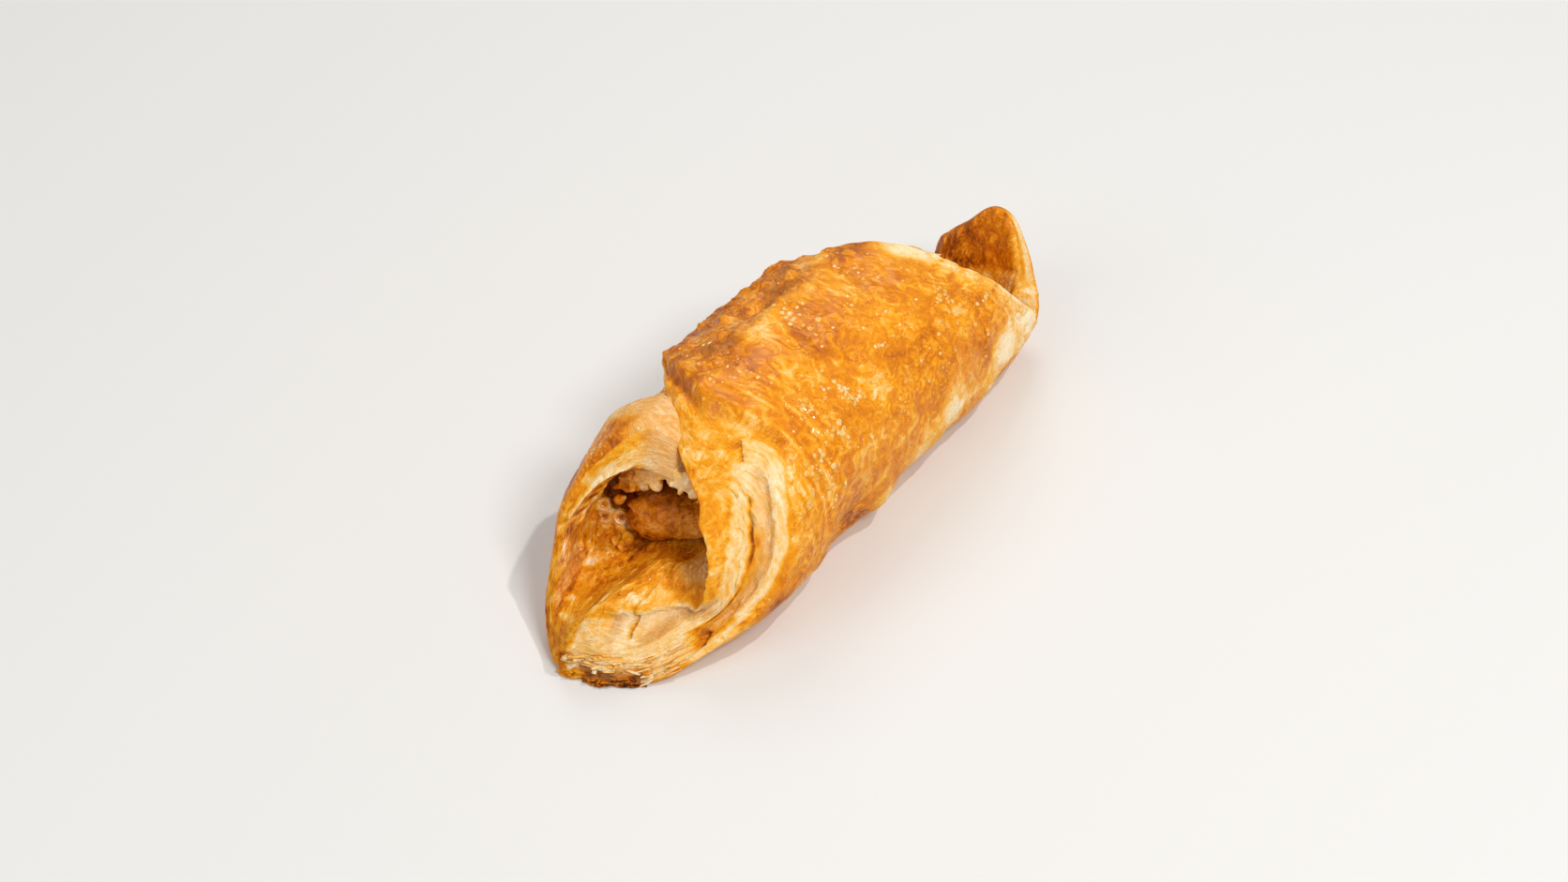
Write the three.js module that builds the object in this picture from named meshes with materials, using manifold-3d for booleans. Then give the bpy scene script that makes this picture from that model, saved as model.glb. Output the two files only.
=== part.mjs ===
// A cream cheese puff pastry: one square of laminated dough whose two side corners
// are wrapped over a filling.  The near corner stays flat as the lip of an open
// mouth, the left corner arches over the mouth, the right corner covers the whole
// top as a domed crust, and the far corner bakes upright as a small triangle.
//
// Millimetres, Z up, X along the pastry from the mouth (-X) to the far corner (+X).
// The dough is described by a station along the pastry, a turn in degrees round it
// (0 under the pastry, 90 on its right side at -Y, 180 on top, negative turns up the
// left side) and a depth from the crust inwards.

import * as THREE from 'three';
import Module from 'manifold-3d';
import { mergeVertices } from 'three/addons/utils/BufferGeometryUtils.js';

// ---- Driving dimensions -----------------------------------------------------

// Outline of the wrapped dough: station, middle of the section, half width, height.
const BODY = [
  [-82, -5.5, 9, 17],
  [-72, -6, 15.5, 24],
  [-60, -6.5, 21, 33],
  [-45, -6, 25.5, 40.5],
  [-25, -4.5, 27.5, 43],
  [0, -3.5, 27, 43],
  [20, -3, 27, 42],
  [35, -4, 26, 40],
  [48, -5.5, 23.5, 36],
  [60, -7.5, 18.5, 29],
  [72, -8.5, 16, 24],
  [98, -8.5, 19, 24],
];

// The cut edge round the mouth: turn, station of the crust, station of the inside.
const NEAR_EDGE = [
  [-205, -26, -36],
  [-180, -37, -43],
  [-165, -41, -46],
  [-150, -47.5, -47],
  [-135, -52.5, -49],
  [-120, -58, -52],
  [-105, -61.5, -57],
  [-90, -67, -66],
  [-60, -75, -73],
  [-30, -78.5, -75],
  [0, -78.5, -71],
  [20, -77, -68],
  [40, -74, -64],
  [60, -66, -60],
  [75, -55, -58.5],
  [95, -43, -57],
  [120, -36.5, -54],
  [150, -31, -49.5],
  [165, -32.5, -46.5],
  [180, -34, -42],
  [200, -30, -33.5],
  [219, -25, -26.5],
  [234, -17, -18],
];

// The cut edge at the far end, in the same three columns.
const FAR_EDGE = [
  [-205, 36, 34],
  [-180, 45, 43],
  [-150, 54, 52],
  [-120, 60, 60],
  [-90, 69, 69],
  [-65, 80, 80],
  [-45, 83.5, 83.5],
  [-28, 86.5, 86.5],
  [0, 93, 93],
  [28, 85, 85],
  [45, 79, 79],
  [65, 75, 75],
  [85, 68, 68],
  [105, 60, 59],
  [130, 52.5, 51],
  [155, 46, 44.5],
  [180, 41, 39.5],
  [200, 31, 30],
  [219, 20, 19],
  [234, 4, 3],
];

// Thickness of the puffed dough: turn, thickness.
const THICKNESS = [
  [-205, 9],
  [-180, 9],
  [-150, 7.5],
  [-120, 6],
  [-90, 4.5],
  [-60, 5],
  [-35, 11],
  [-10, 15],
  [20, 16],
  [50, 13.5],
  [75, 9],
  [150, 9],
  [165, 8.5],
  [180, 7.5],
  [200, 6.8],
  [234, 6],
];

// How much thinner the mouth's floor is than its lip, and the far corner than the rest.
const FLOOR_HOLLOW = { part: 0.2, fromEdge: [8, 26], width: 50 };
const FAR_THINNING = { part: 0.75, stations: [48, 74], width: 90 };

const SECTION_MIDDLE = 20; // height that the thickness points at, mm
const ROUNDNESS = 2.35; // exponent of the section's superellipse
const SAG = 1.12; // above 1 the widest part sits below half height
const BASE_DIP = 2.2; // how much of the section is pressed flat underneath, mm

// The left corner lies below the outline where the cover goes over it: on the arch
// over the mouth, more at its hidden tip, and down the left wall.  Each is a depth in
// mm that grows from the first turn to the second.
const STEP_ARCH = { depth: 5, turns: [-120, -150] };
const STEP_TIP = { depth: 3, turns: [-170, -205] };
const STEP_WALL = { depth: 5, turns: [-60, -110], stations: [-40, -24] };
const STEP_START = { arch: -40, top: -52, length: 14 }; // stations where it begins
const STEP_END = { stations: [32, 46], kept: 0.4 }; // it eases off towards the far end

// Bumps and hollows of the crust: where along and how long, where round and how
// wide, and how high, in mm and degrees.
const CRUST_FEATURES = [
  { name: 'waist behind the mouth', station: -19, length: 8, turn: 72, width: 16, height: -2.5 },
  { name: 'tab at the base', station: -4, length: 5, turn: 62, width: 14, height: 1.6 },
  { name: 'sunken blister', station: 3, length: 9, turn: 204, width: 7, height: -2.4 },
  { name: 'ridge above it', station: 4, length: 12, turn: 189, width: 7, height: 1.2 },
  { name: 'fallen shoulder', station: 26, length: 12, turn: 214, width: 14, height: -0.8 },
];
const PUFF_BROAD = 0.5; // height of the broad unevenness of the crust, mm
const PUFF_SMALL = 0.35; // height of the small unevenness, mm
const BASE_CLEAR_TURNS = [32, 52]; // the flat base has none of either up to here

const FAR_BEND_START = 52; // station where the far corner leaves the table
const FAR_BEND_END = 80; // station where it has its full slope
const FAR_BEND_TURNS = [55, 105]; // only the dough underneath bends, not the walls
const FAR_BEND_ANGLE = THREE.MathUtils.degToRad(74);

const LAYERS = 4; // laminations that stand out on a cut edge
const LAYER_RELIEF = 0.7; // mm
const EDGE_BULGE = 1.6; // how far a cut edge puffs out between its two faces, mm
const SPLIT_DEPTH = 6; // depth of the gap between the cover's layers, mm
const SPLIT_LEVEL = 0.38; // where it opens, as a part of the thickness
const SPLIT_WIDTH = 0.1; // as a part of the thickness
const SPLIT_OPENS = [40, 75]; // turns over which it opens at the base
const SPLIT_CLOSES = [140, 162]; // and closes near the top

const BASE_SEAM = -14; // turn under the pastry where its right and left halves meet
const CORE_NEAR = -37; // station of the mouth's back wall
const CORE_FAR = 58; // station of the rounded far end of the inside
const CORE_MARGIN = 4; // how far it stays behind the dough's far edge, mm
const CORE_DEPTH = 0.5; // how deep in the dough its skin runs, as a part of the thickness
const CORE_TOP_TURNS = [150, 180]; // turns over which its skin passes to the left corner

const FILLING = { start: -47, end: 42, middleY: -5, middleZ: 16.5, halfWidth: 12.5, halfHeight: 5.5 };
const FILLING_LUMPS = { round: 0.07, along: 0.05 }; // as parts of its half width and height
const FILLING_END_POWER = 12; // the higher, the blunter its two ends
const FILLING_GAP = 0.4; // clearance between the filling and its pocket, mm

// Facets: through the thickness of a cut edge, along the dough and round each piece.
const EDGE_ROWS = 12;
const SHEET_COLUMNS = 18;
const SHEET_SPACING = 1.25; // above 1 the columns lie closer at the mouth
const TURN_STEPS = { right: 46, left: 36, core: 36, filling: 20 };
const CORE_COLUMNS = 8;
const CORE_CAP_ROWS = 3;
const FILLING_COLUMNS = 22;
const MERGE_DISTANCE = 1e-3; // corners closer than this are one, mm
const LEAST_AREA = 1e-7; // smaller facets are dropped, square mm

// ---- Curves through the stations ----------------------------------------------

// A smooth curve through a table's column, as a function of its first column.
function curve(table, column) {
  const last = table.length - 1;
  const slope = (i) => (table[i + 1][column] - table[i][column]) / (table[i + 1][0] - table[i][0]);
  const tangents = table.map((row, i) => {
    if (i === 0) return slope(0);
    if (i === last) return slope(last - 1);
    const before = row[0] - table[i - 1][0];
    const after = table[i + 1][0] - row[0];
    return (slope(i - 1) * after + slope(i) * before) / (before + after);
  });
  return (value) => {
    const at = THREE.MathUtils.clamp(value, table[0][0], table[last][0]);
    let i = 0;
    while (i < last - 1 && at >= table[i + 1][0]) i += 1;
    const span = table[i + 1][0] - table[i][0];
    const t = (at - table[i][0]) / span;
    const t2 = t * t;
    const t3 = t2 * t;
    const ends = (2 * t3 - 3 * t2 + 1) * table[i][column] + (3 * t2 - 2 * t3) * table[i + 1][column];
    return ends + span * ((t3 - 2 * t2 + t) * tangents[i] + (t3 - t2) * tangents[i + 1]);
  };
}

const mix = (a, b, t) => a + (b - a) * t;
const rise = (from, to, value) => THREE.MathUtils.smoothstep(value, from, to);
const fall = (from, to, value) => 1 - rise(from, to, value);
const bell = (value, middle, width) => Math.exp(-(((value - middle) / width) ** 2));

const bodyMiddle = curve(BODY, 1);
const bodyHalfWidth = curve(BODY, 2);
const bodyHeight = curve(BODY, 3);
const nearCrust = curve(NEAR_EDGE, 1);
const nearInside = curve(NEAR_EDGE, 2);
const farCrust = curve(FAR_EDGE, 1);
const farInside = curve(FAR_EDGE, 2);
const thicknessAtTurn = curve(THICKNESS, 1);
const firstTurn = NEAR_EDGE[0][0];
const lastTurn = NEAR_EDGE[NEAR_EDGE.length - 1][0];

// The line that the bottom of the pastry follows: flat, then curling up at the far corner.
const bottomLine = (() => {
  const step = 0.25;
  const points = [];
  let x = FAR_BEND_START;
  let z = 0;
  for (let s = FAR_BEND_START; s <= BODY[BODY.length - 1][0]; s += step) {
    points.push([s, x, z]);
    const angle = FAR_BEND_ANGLE * rise(FAR_BEND_START, FAR_BEND_END, s + step / 2);
    x += Math.cos(angle) * step;
    z += Math.sin(angle) * step;
  }
  return { x: curve(points, 1), z: curve(points, 2) };
})();

// ---- The dough's shape --------------------------------------------------------

// Unevenness, bumps and hollows of the crust, as a distance outwards.
function crustRelief(station, turn) {
  const broad = PUFF_BROAD * Math.sin(station / 9 + turn / 27) * Math.sin(turn / 21 + 1);
  const small = PUFF_SMALL * Math.sin(station / 4.7 - turn / 13 + 2) * Math.sin(station / 11 + turn / 33);
  const features = CRUST_FEATURES.reduce(
    (sum, f) => sum + f.height * bell(station, f.station, f.length) * bell(turn, f.turn, f.width),
    0,
  );
  return (broad + small + features) * rise(...BASE_CLEAR_TURNS, Math.abs(turn));
}

// A point of the wrapped dough: how far along, how far round, how deep.
function doughPoint(station, turn, depth) {
  const angle = THREE.MathUtils.degToRad(turn);
  const power = 2 / ROUNDNESS;
  const sine = Math.sin(angle);
  const cosine = Math.cos(angle);
  const across = -bodyHalfWidth(station) * Math.sign(sine) * Math.abs(sine) ** power;
  const climb = 0.5 - 0.5 * Math.sign(cosine) * Math.abs(cosine) ** power;
  const height = Math.max(bodyHeight(station) * climb ** SAG - BASE_DIP, 0);
  const reach = Math.hypot(across, SECTION_MIDDLE - height);
  const inwards = depth / reach;
  const y = bodyMiddle(station) + across * (1 - inwards);
  const lift = Math.max(height + (SECTION_MIDDLE - height) * inwards, 0);
  const bent = fall(...FAR_BEND_TURNS, Math.abs(turn));
  if (bent === 0 || station <= FAR_BEND_START) return new THREE.Vector3(station, y, lift);
  const slope = FAR_BEND_ANGLE * rise(FAR_BEND_START, FAR_BEND_END, station);
  const x = mix(station, bottomLine.x(station) - Math.sin(slope) * lift, bent);
  const z = mix(lift, bottomLine.z(station) + Math.cos(slope) * lift, bent);
  return new THREE.Vector3(x, y, z);
}

// How far below the outline the crust lies, where the cover goes over the left corner.
function stepUnderCover(station, turn) {
  const grown = (step) => step.depth * fall(step.turns[1], step.turns[0], turn);
  const start = mix(STEP_START.arch, STEP_START.top, fall(-180, -150, turn));
  const eased = 1 - (1 - STEP_END.kept) * rise(...STEP_END.stations, station);
  const along = rise(start, start + STEP_START.length, station) * eased;
  const wall = grown(STEP_WALL) * rise(...STEP_WALL.stations, station);
  return Math.max((grown(STEP_ARCH) + grown(STEP_TIP)) * along, wall);
}

// Thickness: full at the mouth's cut edge, less over the floor, thin at the far corner.
function doughThickness(station, turn, fromEdge) {
  const { part: floorPart, fromEdge: floorFromEdge, width: floorWidth } = FLOOR_HOLLOW;
  const { part: farPart, stations: farStations, width: farWidth } = FAR_THINNING;
  const floor = 1 - floorPart * rise(...floorFromEdge, fromEdge) * bell(turn, 0, floorWidth);
  const farCorner = 1 - farPart * rise(...farStations, station) * bell(turn, 0, farWidth);
  return thicknessAtTurn(turn) * floor * farCorner;
}

// The laminations and the split of the cut edge, as a distance back from it.
function edgeRelief(turn, level) {
  const inner = Math.sin(Math.PI * level);
  const layers = LAYER_RELIEF * Math.cos(2 * Math.PI * LAYERS * level + turn / 40) * inner;
  const opened = rise(...SPLIT_OPENS, turn) * fall(...SPLIT_CLOSES, turn);
  return layers - EDGE_BULGE * inner + SPLIT_DEPTH * opened * bell(level, SPLIT_LEVEL, SPLIT_WIDTH);
}

// A point of the dough sheet: part of the way along, turn, part of the thickness.
function sheetPoint(along, turn, level) {
  const near = mix(nearCrust(turn), nearInside(turn), level) + (along === 0 ? edgeRelief(turn, level) : 0);
  const far = mix(farCrust(turn), farInside(turn), level);
  const station = mix(near, far, along);
  const thickness = doughThickness(station, turn, station - near);
  const outwards = crustRelief(station, turn) * (1 - level);
  return doughPoint(station, turn, stepUnderCover(station, turn) + level * thickness - outwards);
}

// ---- Meshes -------------------------------------------------------------------

// Adds a grid of points as triangles; a grid may close round on its first column.
function addGrid(triangles, rows) {
  for (let i = 0; i + 1 < rows.length; i += 1) {
    for (let j = 0; j + 1 < rows[i].length; j += 1) {
      const a = rows[i][j];
      const b = rows[i + 1][j];
      const c = rows[i + 1][j + 1];
      const d = rows[i][j + 1];
      triangles.push([a, b, c], [a, c, d]);
    }
  }
}

const steps = (from, to, count) => Array.from({ length: count + 1 }, (_, i) => mix(from, to, i / count));
const grid = (first, second, point) => first.map((p) => second.map((q) => point(p, q)));

// A closed geometry from loose triangles, its shared corners merged.
function closedGeometry(triangles) {
  const sound = triangles.filter(([a, b, c]) => {
    const area = new THREE.Triangle(a, b, c).getArea();
    return area > LEAST_AREA;
  });
  const positions = new Float32Array(sound.flatMap((t) => t.flatMap((p) => [p.x, p.y, p.z])));
  const geometry = new THREE.BufferGeometry();
  geometry.setAttribute('position', new THREE.BufferAttribute(positions, 3));
  return mergeVertices(geometry, MERGE_DISTANCE);
}

// One stretch of the dough sheet between two turns, closed on all six sides.
function sheetGeometry(turnFrom, turnTo, turnSteps) {
  const alongs = steps(0, 1, SHEET_COLUMNS).map((t) => t ** SHEET_SPACING);
  const turns = steps(turnFrom, turnTo, turnSteps);
  const levels = steps(0, 1, EDGE_ROWS);
  const triangles = [];
  addGrid(triangles, grid(alongs, turns, (along, turn) => sheetPoint(along, turn, 0)));
  addGrid(triangles, grid(turns, alongs, (turn, along) => sheetPoint(along, turn, 1)));
  addGrid(triangles, grid(turns, levels, (turn, level) => sheetPoint(0, turn, level)));
  addGrid(triangles, grid(levels, turns, (level, turn) => sheetPoint(1, turn, level)));
  addGrid(triangles, grid(levels, alongs, (level, along) => sheetPoint(along, turnFrom, level)));
  addGrid(triangles, grid(alongs, levels, (along, level) => sheetPoint(along, turnTo, level)));
  return closedGeometry(triangles);
}

// Depth of the baked inside below the outline, midway through the dough round it.
function coreDepth(station, turn) {
  if (turn < 0) return stepUnderCover(station, turn) + CORE_DEPTH * thicknessAtTurn(turn);
  const right = CORE_DEPTH * thicknessAtTurn(Math.min(turn, CORE_TOP_TURNS[0]));
  const top = stepUnderCover(station, -180) + CORE_DEPTH * thicknessAtTurn(-180);
  return mix(right, top, rise(...CORE_TOP_TURNS, turn));
}

// The inside of the pastry, from the mouth's back wall to the rounded far end.
function coreGeometry() {
  const turns = steps(-180, 180, TURN_STEPS.core);
  const alongs = steps(0, 1, CORE_COLUMNS);
  const toMiddle = steps(0, 1, CORE_CAP_ROWS);
  const [sideTurn] = CORE_TOP_TURNS;
  const middleOf = (station) => new THREE.Vector3(station, bodyMiddle(station), SECTION_MIDDLE);
  const farRim = (turn) => Math.min(CORE_FAR, farCrust(Math.max(turn, -sideTurn)) - CORE_MARGIN);
  const farStation = (turn) => mix(farRim(turn), farRim(180), fall(-180, -sideTurn, turn));
  const wall = (along, turn) => {
    const station = mix(CORE_NEAR, farStation(turn), along);
    return doughPoint(station, turn, coreDepth(station, turn));
  };
  const wrapped = (turn) => (turn === 180 ? -180 : turn);
  const nearCap = (part, turn) => wall(0, turn).lerp(middleOf(CORE_NEAR + 3), part);
  const farCap = (part, turn) => wall(1, turn).lerp(middleOf(CORE_FAR), part);
  const triangles = [];
  addGrid(triangles, grid(alongs, turns, (along, turn) => wall(along, wrapped(turn))));
  addGrid(triangles, grid(turns, toMiddle, (turn, part) => nearCap(part, wrapped(turn))));
  addGrid(triangles, grid(toMiddle, turns, (part, turn) => farCap(part, wrapped(turn))));
  return closedGeometry(triangles);
}

// The filling: a soft flattened bar with a lumpy near end, swollen by a margin for its pocket.
function fillingGeometry(margin) {
  const turns = steps(0, 2 * Math.PI, TURN_STEPS.filling);
  const alongs = steps(0, 1, FILLING_COLUMNS);
  const ring = (along, turn) => {
    const angle = turn === 2 * Math.PI ? 0 : turn;
    const station = mix(FILLING.start - margin, FILLING.end + margin, along);
    const taper = Math.sqrt(1 - Math.abs(2 * along - 1) ** FILLING_END_POWER);
    const roundLumps = FILLING_LUMPS.round * Math.sin(3 * angle + station / 3);
    const lumps = 1 + roundLumps + FILLING_LUMPS.along * Math.sin(station / 2.2);
    const wide = (FILLING.halfWidth * lumps + margin) * taper;
    const high = (FILLING.halfHeight * lumps + margin) * taper;
    const y = FILLING.middleY + wide * Math.cos(angle);
    return new THREE.Vector3(station, y, FILLING.middleZ + high * Math.sin(angle));
  };
  const triangles = [];
  addGrid(triangles, grid(turns, alongs, (turn, along) => ring(along, turn)));
  return closedGeometry(triangles);
}

// ---- Joins and cuts -----------------------------------------------------------

const wasm = await Module();
wasm.setup();

// A geometry as a solid, turned the right way out if its faces point inwards.
function solidOf(geometry) {
  const vertProperties = geometry.getAttribute('position').array;
  const triVerts = Uint32Array.from(geometry.index.array);
  const solid = new wasm.Manifold(new wasm.Mesh({ numProp: 3, vertProperties, triVerts }));
  if (solid.volume() > 0) return solid;
  const flipped = triVerts.map((_, i) => triVerts[i - (i % 3) + (2 - (i % 3))]);
  return new wasm.Manifold(new wasm.Mesh({ numProp: 3, vertProperties, triVerts: flipped }));
}

// The largest body of a solid as a geometry, moved by an offset.
function geometryOf(solid, offset) {
  const bodies = solid.decompose().sort((a, b) => b.volume() - a.volume());
  const mesh = bodies[0].getMesh();
  const geometry = new THREE.BufferGeometry();
  geometry.setAttribute('position', new THREE.BufferAttribute(new Float32Array(mesh.vertProperties), 3));
  geometry.setIndex(new THREE.BufferAttribute(new Uint32Array(mesh.triVerts), 1));
  geometry.translate(offset.x, offset.y, offset.z);
  geometry.computeVertexNormals();
  return geometry;
}

const rightSheet = solidOf(sheetGeometry(BASE_SEAM, lastTurn, TURN_STEPS.right));
const leftSheet = solidOf(sheetGeometry(firstTurn, BASE_SEAM, TURN_STEPS.left));
const core = solidOf(coreGeometry());
const pocket = solidOf(fillingGeometry(FILLING_GAP));
const pastrySolid = rightSheet.add(leftSheet).add(core).subtract(pocket);
const fillingSolid = solidOf(fillingGeometry(0));

// The origin: the middle of the pastry's outline, on the surface it stands on.
const bounds = pastrySolid.boundingBox();
const origin = new THREE.Vector3(
  -(bounds.min[0] + bounds.max[0]) / 2,
  -(bounds.min[1] + bounds.max[1]) / 2,
  -bounds.min[2],
);

const pastry = new THREE.Mesh(
  geometryOf(pastrySolid, origin),
  new THREE.MeshStandardMaterial({ color: 0xe3922b, roughness: 0.45, metalness: 0 }),
);
pastry.name = 'pastry';

const filling = new THREE.Mesh(
  geometryOf(fillingSolid, origin),
  new THREE.MeshStandardMaterial({ color: 0xa85a17, roughness: 0.3, metalness: 0 }),
);
filling.name = 'filling';

const puffPastry = new THREE.Group();
puffPastry.add(pastry, filling);

export default puffPastry;
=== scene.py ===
"""A cream cheese puff pastry: one sheet of laminated dough wrapped over its filling.

The dough is laid out flat with mesh operators, each point keeping three numbers: how
far along it lies from the mouth's cut edge to the far cut edge, its turn in degrees
round the pastry, and its level between the crust (0) and the inside (1).  Wrapping
turns those numbers into a place, baking adds the relief and the browning.
Millimetres are used while modelling, metres in the finished meshes.
"""

import logging
import math
from dataclasses import dataclass, field
from enum import Enum
from typing import Sequence

import bmesh
import bpy
import numpy as np
from mathutils import Matrix, Vector


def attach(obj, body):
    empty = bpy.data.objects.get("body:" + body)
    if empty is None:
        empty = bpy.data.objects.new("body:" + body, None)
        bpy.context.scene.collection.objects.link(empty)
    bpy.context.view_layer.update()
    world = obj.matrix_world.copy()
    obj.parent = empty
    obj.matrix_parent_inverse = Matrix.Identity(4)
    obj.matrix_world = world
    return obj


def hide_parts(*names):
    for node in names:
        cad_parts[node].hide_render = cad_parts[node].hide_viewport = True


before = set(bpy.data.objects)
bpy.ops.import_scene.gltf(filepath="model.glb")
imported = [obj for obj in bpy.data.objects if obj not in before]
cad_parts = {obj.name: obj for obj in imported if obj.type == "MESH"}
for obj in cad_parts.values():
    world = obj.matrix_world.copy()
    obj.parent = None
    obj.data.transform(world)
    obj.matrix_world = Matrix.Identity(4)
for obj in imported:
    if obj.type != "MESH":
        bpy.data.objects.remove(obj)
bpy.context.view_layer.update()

Array = np.ndarray
MM = 0.001
ARC = 0.42  # mm of crust for each degree of turn
HAIR = 1e-4  # points closer than this are one point
SHEET_SIDE = 0.5 - HAIR  # half the flat sheet, less a hair
log = logging.getLogger("pastry")


class Slot(Enum):
    """Material slots of the record."""

    CRUST = "crust"
    FILLING = "filling"


class Bake(float, Enum):
    """Named amounts of browning, on the scale that the colour ramp reads."""

    CREAM = 0.06
    PALE = 0.16
    BEIGE = 0.28
    STRAW = 0.4
    GOLDEN = 0.5
    TOASTED = 0.62
    BROWN = 0.76
    DARK = 0.88
    BURNT = 1.0


# ---- Curves and noise ---------------------------------------------------------


def rise(start: float, end: float, value: Array) -> Array:
    """Smooth step from 0 at start to 1 at end."""
    part = np.clip((np.asarray(value, float) - start) / (end - start), 0, 1)
    return part * part * (3 - 2 * part)


def fall(start: float, end: float, value: Array) -> Array:
    """Smooth step from 1 at start to 0 at end."""
    return 1 - rise(start, end, value)


def band(first: float, last: float, soft: float, value: Array) -> Array:
    """1 between first and last, falling to 0 within the soft distance outside them."""
    return rise(first - soft, first, value) * fall(last, last + soft, value)


def bell(value: Array, middle: float, width: float) -> Array:
    """Gaussian bump of height 1 round the middle."""
    return np.exp(-(((value - middle) / width) ** 2))


def mix(first: Array, second: Array, part: Array) -> Array:
    """Blend from first to second by the part."""
    return first + (second - first) * part


class Curve:
    """A smooth curve through one column of a table, over the table's first column."""

    def __init__(self, table: Sequence[Sequence[float]], column: int = 1) -> None:
        """Keeps the knots and their slopes.

        Args:
            table: rows whose first number is the position.
            column: which number of a row the curve goes through.
        """
        rows = np.array(table, float)
        self.knots = rows[:, 0]
        self.values = rows[:, column]
        gaps = np.diff(self.knots)
        slopes = np.diff(self.values) / gaps
        inner = (slopes[:-1] * gaps[1:] + slopes[1:] * gaps[:-1]) / (gaps[1:] + gaps[:-1])
        self.tangents = np.concatenate([slopes[:1], inner, slopes[-1:]])

    def __call__(self, at: Array) -> Array:
        """Value of the curve at the positions, held level beyond its ends."""
        at = np.clip(np.asarray(at, float), self.knots[0], self.knots[-1])
        i = np.clip(np.searchsorted(self.knots, at, side="right") - 1, 0, len(self.knots) - 2)
        span = self.knots[i + 1] - self.knots[i]
        t = (at - self.knots[i]) / span
        start = (2 * t**3 - 3 * t**2 + 1) * self.values[i]
        end = (3 * t**2 - 2 * t**3) * self.values[i + 1]
        bends = (t**3 - 2 * t**2 + t) * self.tangents[i] + (t**3 - t**2) * self.tangents[i + 1]
        return start + end + span * bends


class Unevenness:
    """Smooth seeded noise in three directions, between -1 and 1."""

    SIZE = 32

    def __init__(self, seed: int) -> None:
        """Draws the lattice that the noise runs through."""
        self.lattice = np.random.default_rng(seed).uniform(-1, 1, (self.SIZE,) * 3)

    def __call__(self, x: Array, y: Array, z: Array = 0.0) -> Array:
        """Noise at the points, with one lump per unit of distance."""
        x, y, z = np.broadcast_arrays(*(np.asarray(v, float) for v in (x, y, z)))
        cells = [np.floor(v).astype(int) for v in (x, y, z)]
        parts = [v - c for v, c in zip((x, y, z), cells)]
        parts = [p * p * (3 - 2 * p) for p in parts]
        total = np.zeros(x.shape)
        for corner in range(8):
            steps = [(corner >> axis) & 1 for axis in range(3)]
            where = tuple((c + s) % self.SIZE for c, s in zip(cells, steps))
            weights = [p if s else 1 - p for p, s in zip(parts, steps)]
            total += self.lattice[where] * weights[0] * weights[1] * weights[2]
        return total

    def layered(self, x: Array, y: Array, z: Array = 0.0, octaves: int = 3) -> Array:
        """Noise with finer and fainter noise on it."""
        total = 0.0
        for octave in range(octaves):
            scale = 2.03**octave
            total = total + self(x * scale + 7.1 * octave, y * scale, z * scale) / 1.9**octave
        return total

    def ridged(self, x: Array, y: Array, z: Array = 0.0) -> Array:
        """Sharp crests: 1 on the crest and about 0 between."""
        return 1 - np.minimum(np.abs(self(x, y, z)) * 2.4, 1)


# ---- The wrapped form -----------------------------------------------------------


@dataclass(frozen=True)
class Feature:
    """A soft-edged bump, hollow or patch of the dough.

    Args:
        station: where along the pastry its middle lies, mm.
        turn: where round the pastry, degrees.
        length: half length along the pastry, mm.
        width: half width round the pastry, degrees.
        amount: its height in mm or its change in browning.
        slant: mm along the pastry for each degree of turn.
    """

    station: float
    turn: float
    length: float
    width: float
    amount: float = 1.0
    slant: float = 0.0

    def strength(self, station: Array, turn: Array) -> Array:
        """The amount at each point."""
        along = station - self.slant * (turn - self.turn)
        return self.amount * bell(along, self.station, self.length) * bell(turn, self.turn, self.width)

    def cover(self, station: Array, turn: Array, ragged: Array) -> Array:
        """0 to the amount, with a border that the ragged noise bends."""
        along = (station - self.slant * (turn - self.turn) - self.station) / self.length
        across = (turn - self.turn) / self.width
        return self.amount * fall(0.6, 1.3, np.hypot(along, across) + 0.4 * ragged)


@dataclass(frozen=True)
class Step:
    """How the left corner sinks below the outline under the cover, mm over turns."""

    depth: float
    turns: tuple[float, float]

    def at(self, turn: Array) -> Array:
        """Depth at a turn, without its start and end along the pastry."""
        return self.depth * rise(self.turns[0], self.turns[1], turn)


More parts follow.
